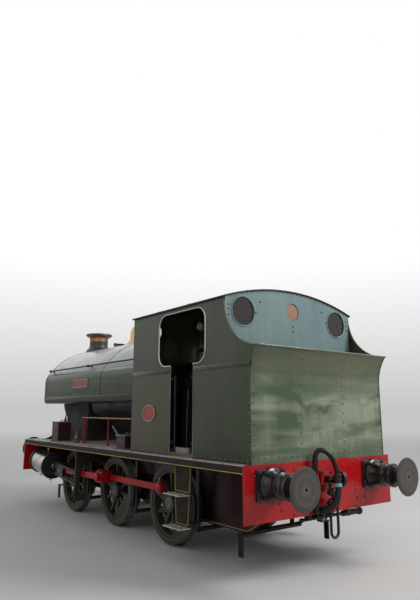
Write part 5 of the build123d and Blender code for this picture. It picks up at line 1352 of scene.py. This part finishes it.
blue_bits.piece("hose_joints", sky_glint_blue, "hose_rubber")

# Smokebox front: rivets and hinge nuts
front_x, smokebox_z = along(6.21), 1.908
smoke_dots, door_bolts = Shape(), Shape()
for i in range(30):
    y, z = polar(0.560, 2 * pi * i / 30)
    smoke_dots.dome((front_x, y, smokebox_z + z), (1, 0, 0), 9, 6)
for s in BOTH:
    for y in steps_between(0.60, 0.90, 0.1):
        smoke_dots.dome((front_x - 0.096, s * y, 1.205), (1, 0, 0), 9, 6)
for dz in (-0.21, 0.21):
    for y in (-0.45, -0.37):
        door_bolts.nut((front_x + 0.060, y, smokebox_z + dz), (1, 0, 0), 13, 9)
smoke_dots.piece("smokebox_rivets", soot, "black_paint")
door_bolts.piece("smokebox_door_bolts", soot, "black_paint", "smokebox_door")

# Inside the cab: dials, pipes and gauge glasses
dials, dial_rims, ticks, cab_pipes, glasses = Shape(), Shape(), Shape(), Shape(), Shape()
head_x = along(2.06)
for place, radius, deep in ((Vector((head_x - 0.0935, 0.150, 2.408)), 80, 45),
                            (Vector((cab_x - 0.055, -0.02, 3.02)), 66, 50)):
    dials.lathe(place, BACK, [(radius, -2), (radius, 1), (0, 1)], 28)
    dial_rims.lathe(place, BACK, [
        (radius + 13, -deep), (radius + 15, -2), (radius + 12, 10),
        (radius - 2, 10), (radius - 2, 1)], 28)
    reach = radius / 1000
    for i in range(11):
        t = radians(225 - 27 * i)
        y, z = polar(reach * 0.8, t)
        ticks.block(place + Vector((-0.0014, -y, z)), (0.0008, reach * 0.16, 0.003),
                    Matrix.Rotation(-t, 4, "X"), 0)
    ticks.block(place + Vector((-0.002, 0.012, 0.018)), (0.001, reach * 0.7, 0.004),
                Matrix.Rotation(radians(-130), 4, "X"), 0)
dials.piece("gauge_dials", dial_white, "brass")
dial_rims.piece("gauge_rims", brass, "brass")
ticks.piece("gauge_ticks", oily, "black_paint")

pipe_x = head_x - 0.05
for route in (
    [(head_x - 0.055, 0.15, 2.33), (head_x - 0.055, 0.15, 2.24), (head_x - 0.03, 0.22, 2.18),
     (head_x - 0.03, 0.22, 2.11)],
    *([(pipe_x, s * 0.40, 2.028), (pipe_x, s * 0.50, 2.03), (pipe_x, s * 0.52, 1.7),
       (pipe_x, s * 0.53, floor_z)] for s in BOTH),
    [(cab_x - 0.03, -0.02, z) for z in (2.95, 2.70, 2.45)],
):
    cab_pipes.tube(eased(route, 0.06), 9, 8)
cab_pipes.lathe((cab_x - 0.007, -0.11, 2.65), BACK, [
    (0, 0), (45, 0), (45, 10), (20, 14), (20, 55), (32, 60), (32, 75), (0, 78)], 18)
cab_pipes.piece("cab_pipes", copper, "brass")
for y in (-0.25, 0.25):
    glasses.tube([(head_x - 0.062, y - 0.001, 1.80), (head_x - 0.062, y, 2.01)], 17.5)
    for z in (1.738, 2.078):
        glasses.nut((head_x - 0.080, y, z), BACK, 20, 14)
glasses.piece("gauge_glasses", gauge_glass, "window_glass")

# Stage: a floor that fades into the sky, the sky, and two lamps
SKY_LOW, SKY_HIGH, SKY_LIT = 0.56, 1.0, 0.68
WHITE = (1000, 1000, 1000)
floor = Shape().slab([(-90, -90), (90, -90), (90, 90), (-90, 90)], (0, 0, -0.02), (1, 0, 0),
                     (0, 1, 0), 0.02)
floor_look = Look("floor", rough=0.85)
floor_look.ground(floor_look.noise(0.6), (460, 440, 425), (500, 485, 470))
floor_look.done()
away = floor_look.node("VectorMath", ((0, floor_look.place),), "Value", operation="LENGTH")
glow = floor_look.node("Emission", (("Color", WHITE), ("Strength", SKY_LOW)))
floor_look.put(floor_look.output.inputs[0], floor_look.node("MixShader", (
    (0, away.ramp(9.0, 40.0)), (1, floor_look.shaded), (2, glow))))
floor_object = in_scene("floor", floor.mesh("floor", floor_look.mat))

world = bpy.data.worlds.new("sky")
bpy.context.scene.world = world
world.use_nodes = True
sky = Web(world.node_tree)


def ray(kind):
    """1 for the rays of one kind."""
    return sky.node("LightPath", out=f"Is {kind} Ray")


# camera, mirrors and glass see a sky paler upwards, and surfaces are lit by a plain one
rise = sky.node("SeparateXYZ", ((0, sky.node("TexCoord", out="Generated")),), "Z")
paler = rise.ramp(0.0, 0.26, SKY_LOW, SKY_HIGH)
seen = sky.node("Background", (("Color", WHITE), ("Strength", paler)))
lit = sky.node("Background", (("Color", (930, 970, 1000)), ("Strength", SKY_LIT)))
mirrored = sky.math("MAXIMUM", ray("Glossy"), ray("Transmission"))
either = sky.math("MAXIMUM", ray("Camera"), mirrored)
sky.node("OutputWorld", ((0, sky.node("MixShader", ((0, either), (1, lit), (2, seen)))),))


def lamp(name, place, target, size, power):
    data = bpy.data.lights.new(name, "AREA")
    data.shape = "DISK"
    data.size = size
    data.energy = power
    made = in_scene(name, data)
    made.location = place
    made.rotation_euler = (Vector(target) - Vector(place)).to_track_quat("-Z", "Y").to_euler()


lamp("key", (-9.5, -6.5, 10.0), (-1.0, 0, 1.5), 6.0, 1300)
lamp("fill", (-5.0, 11.0, 7.0), (0, 0, 1.2), 8.0, 90)

bpy.context.scene.view_settings.view_transform = "Standard"
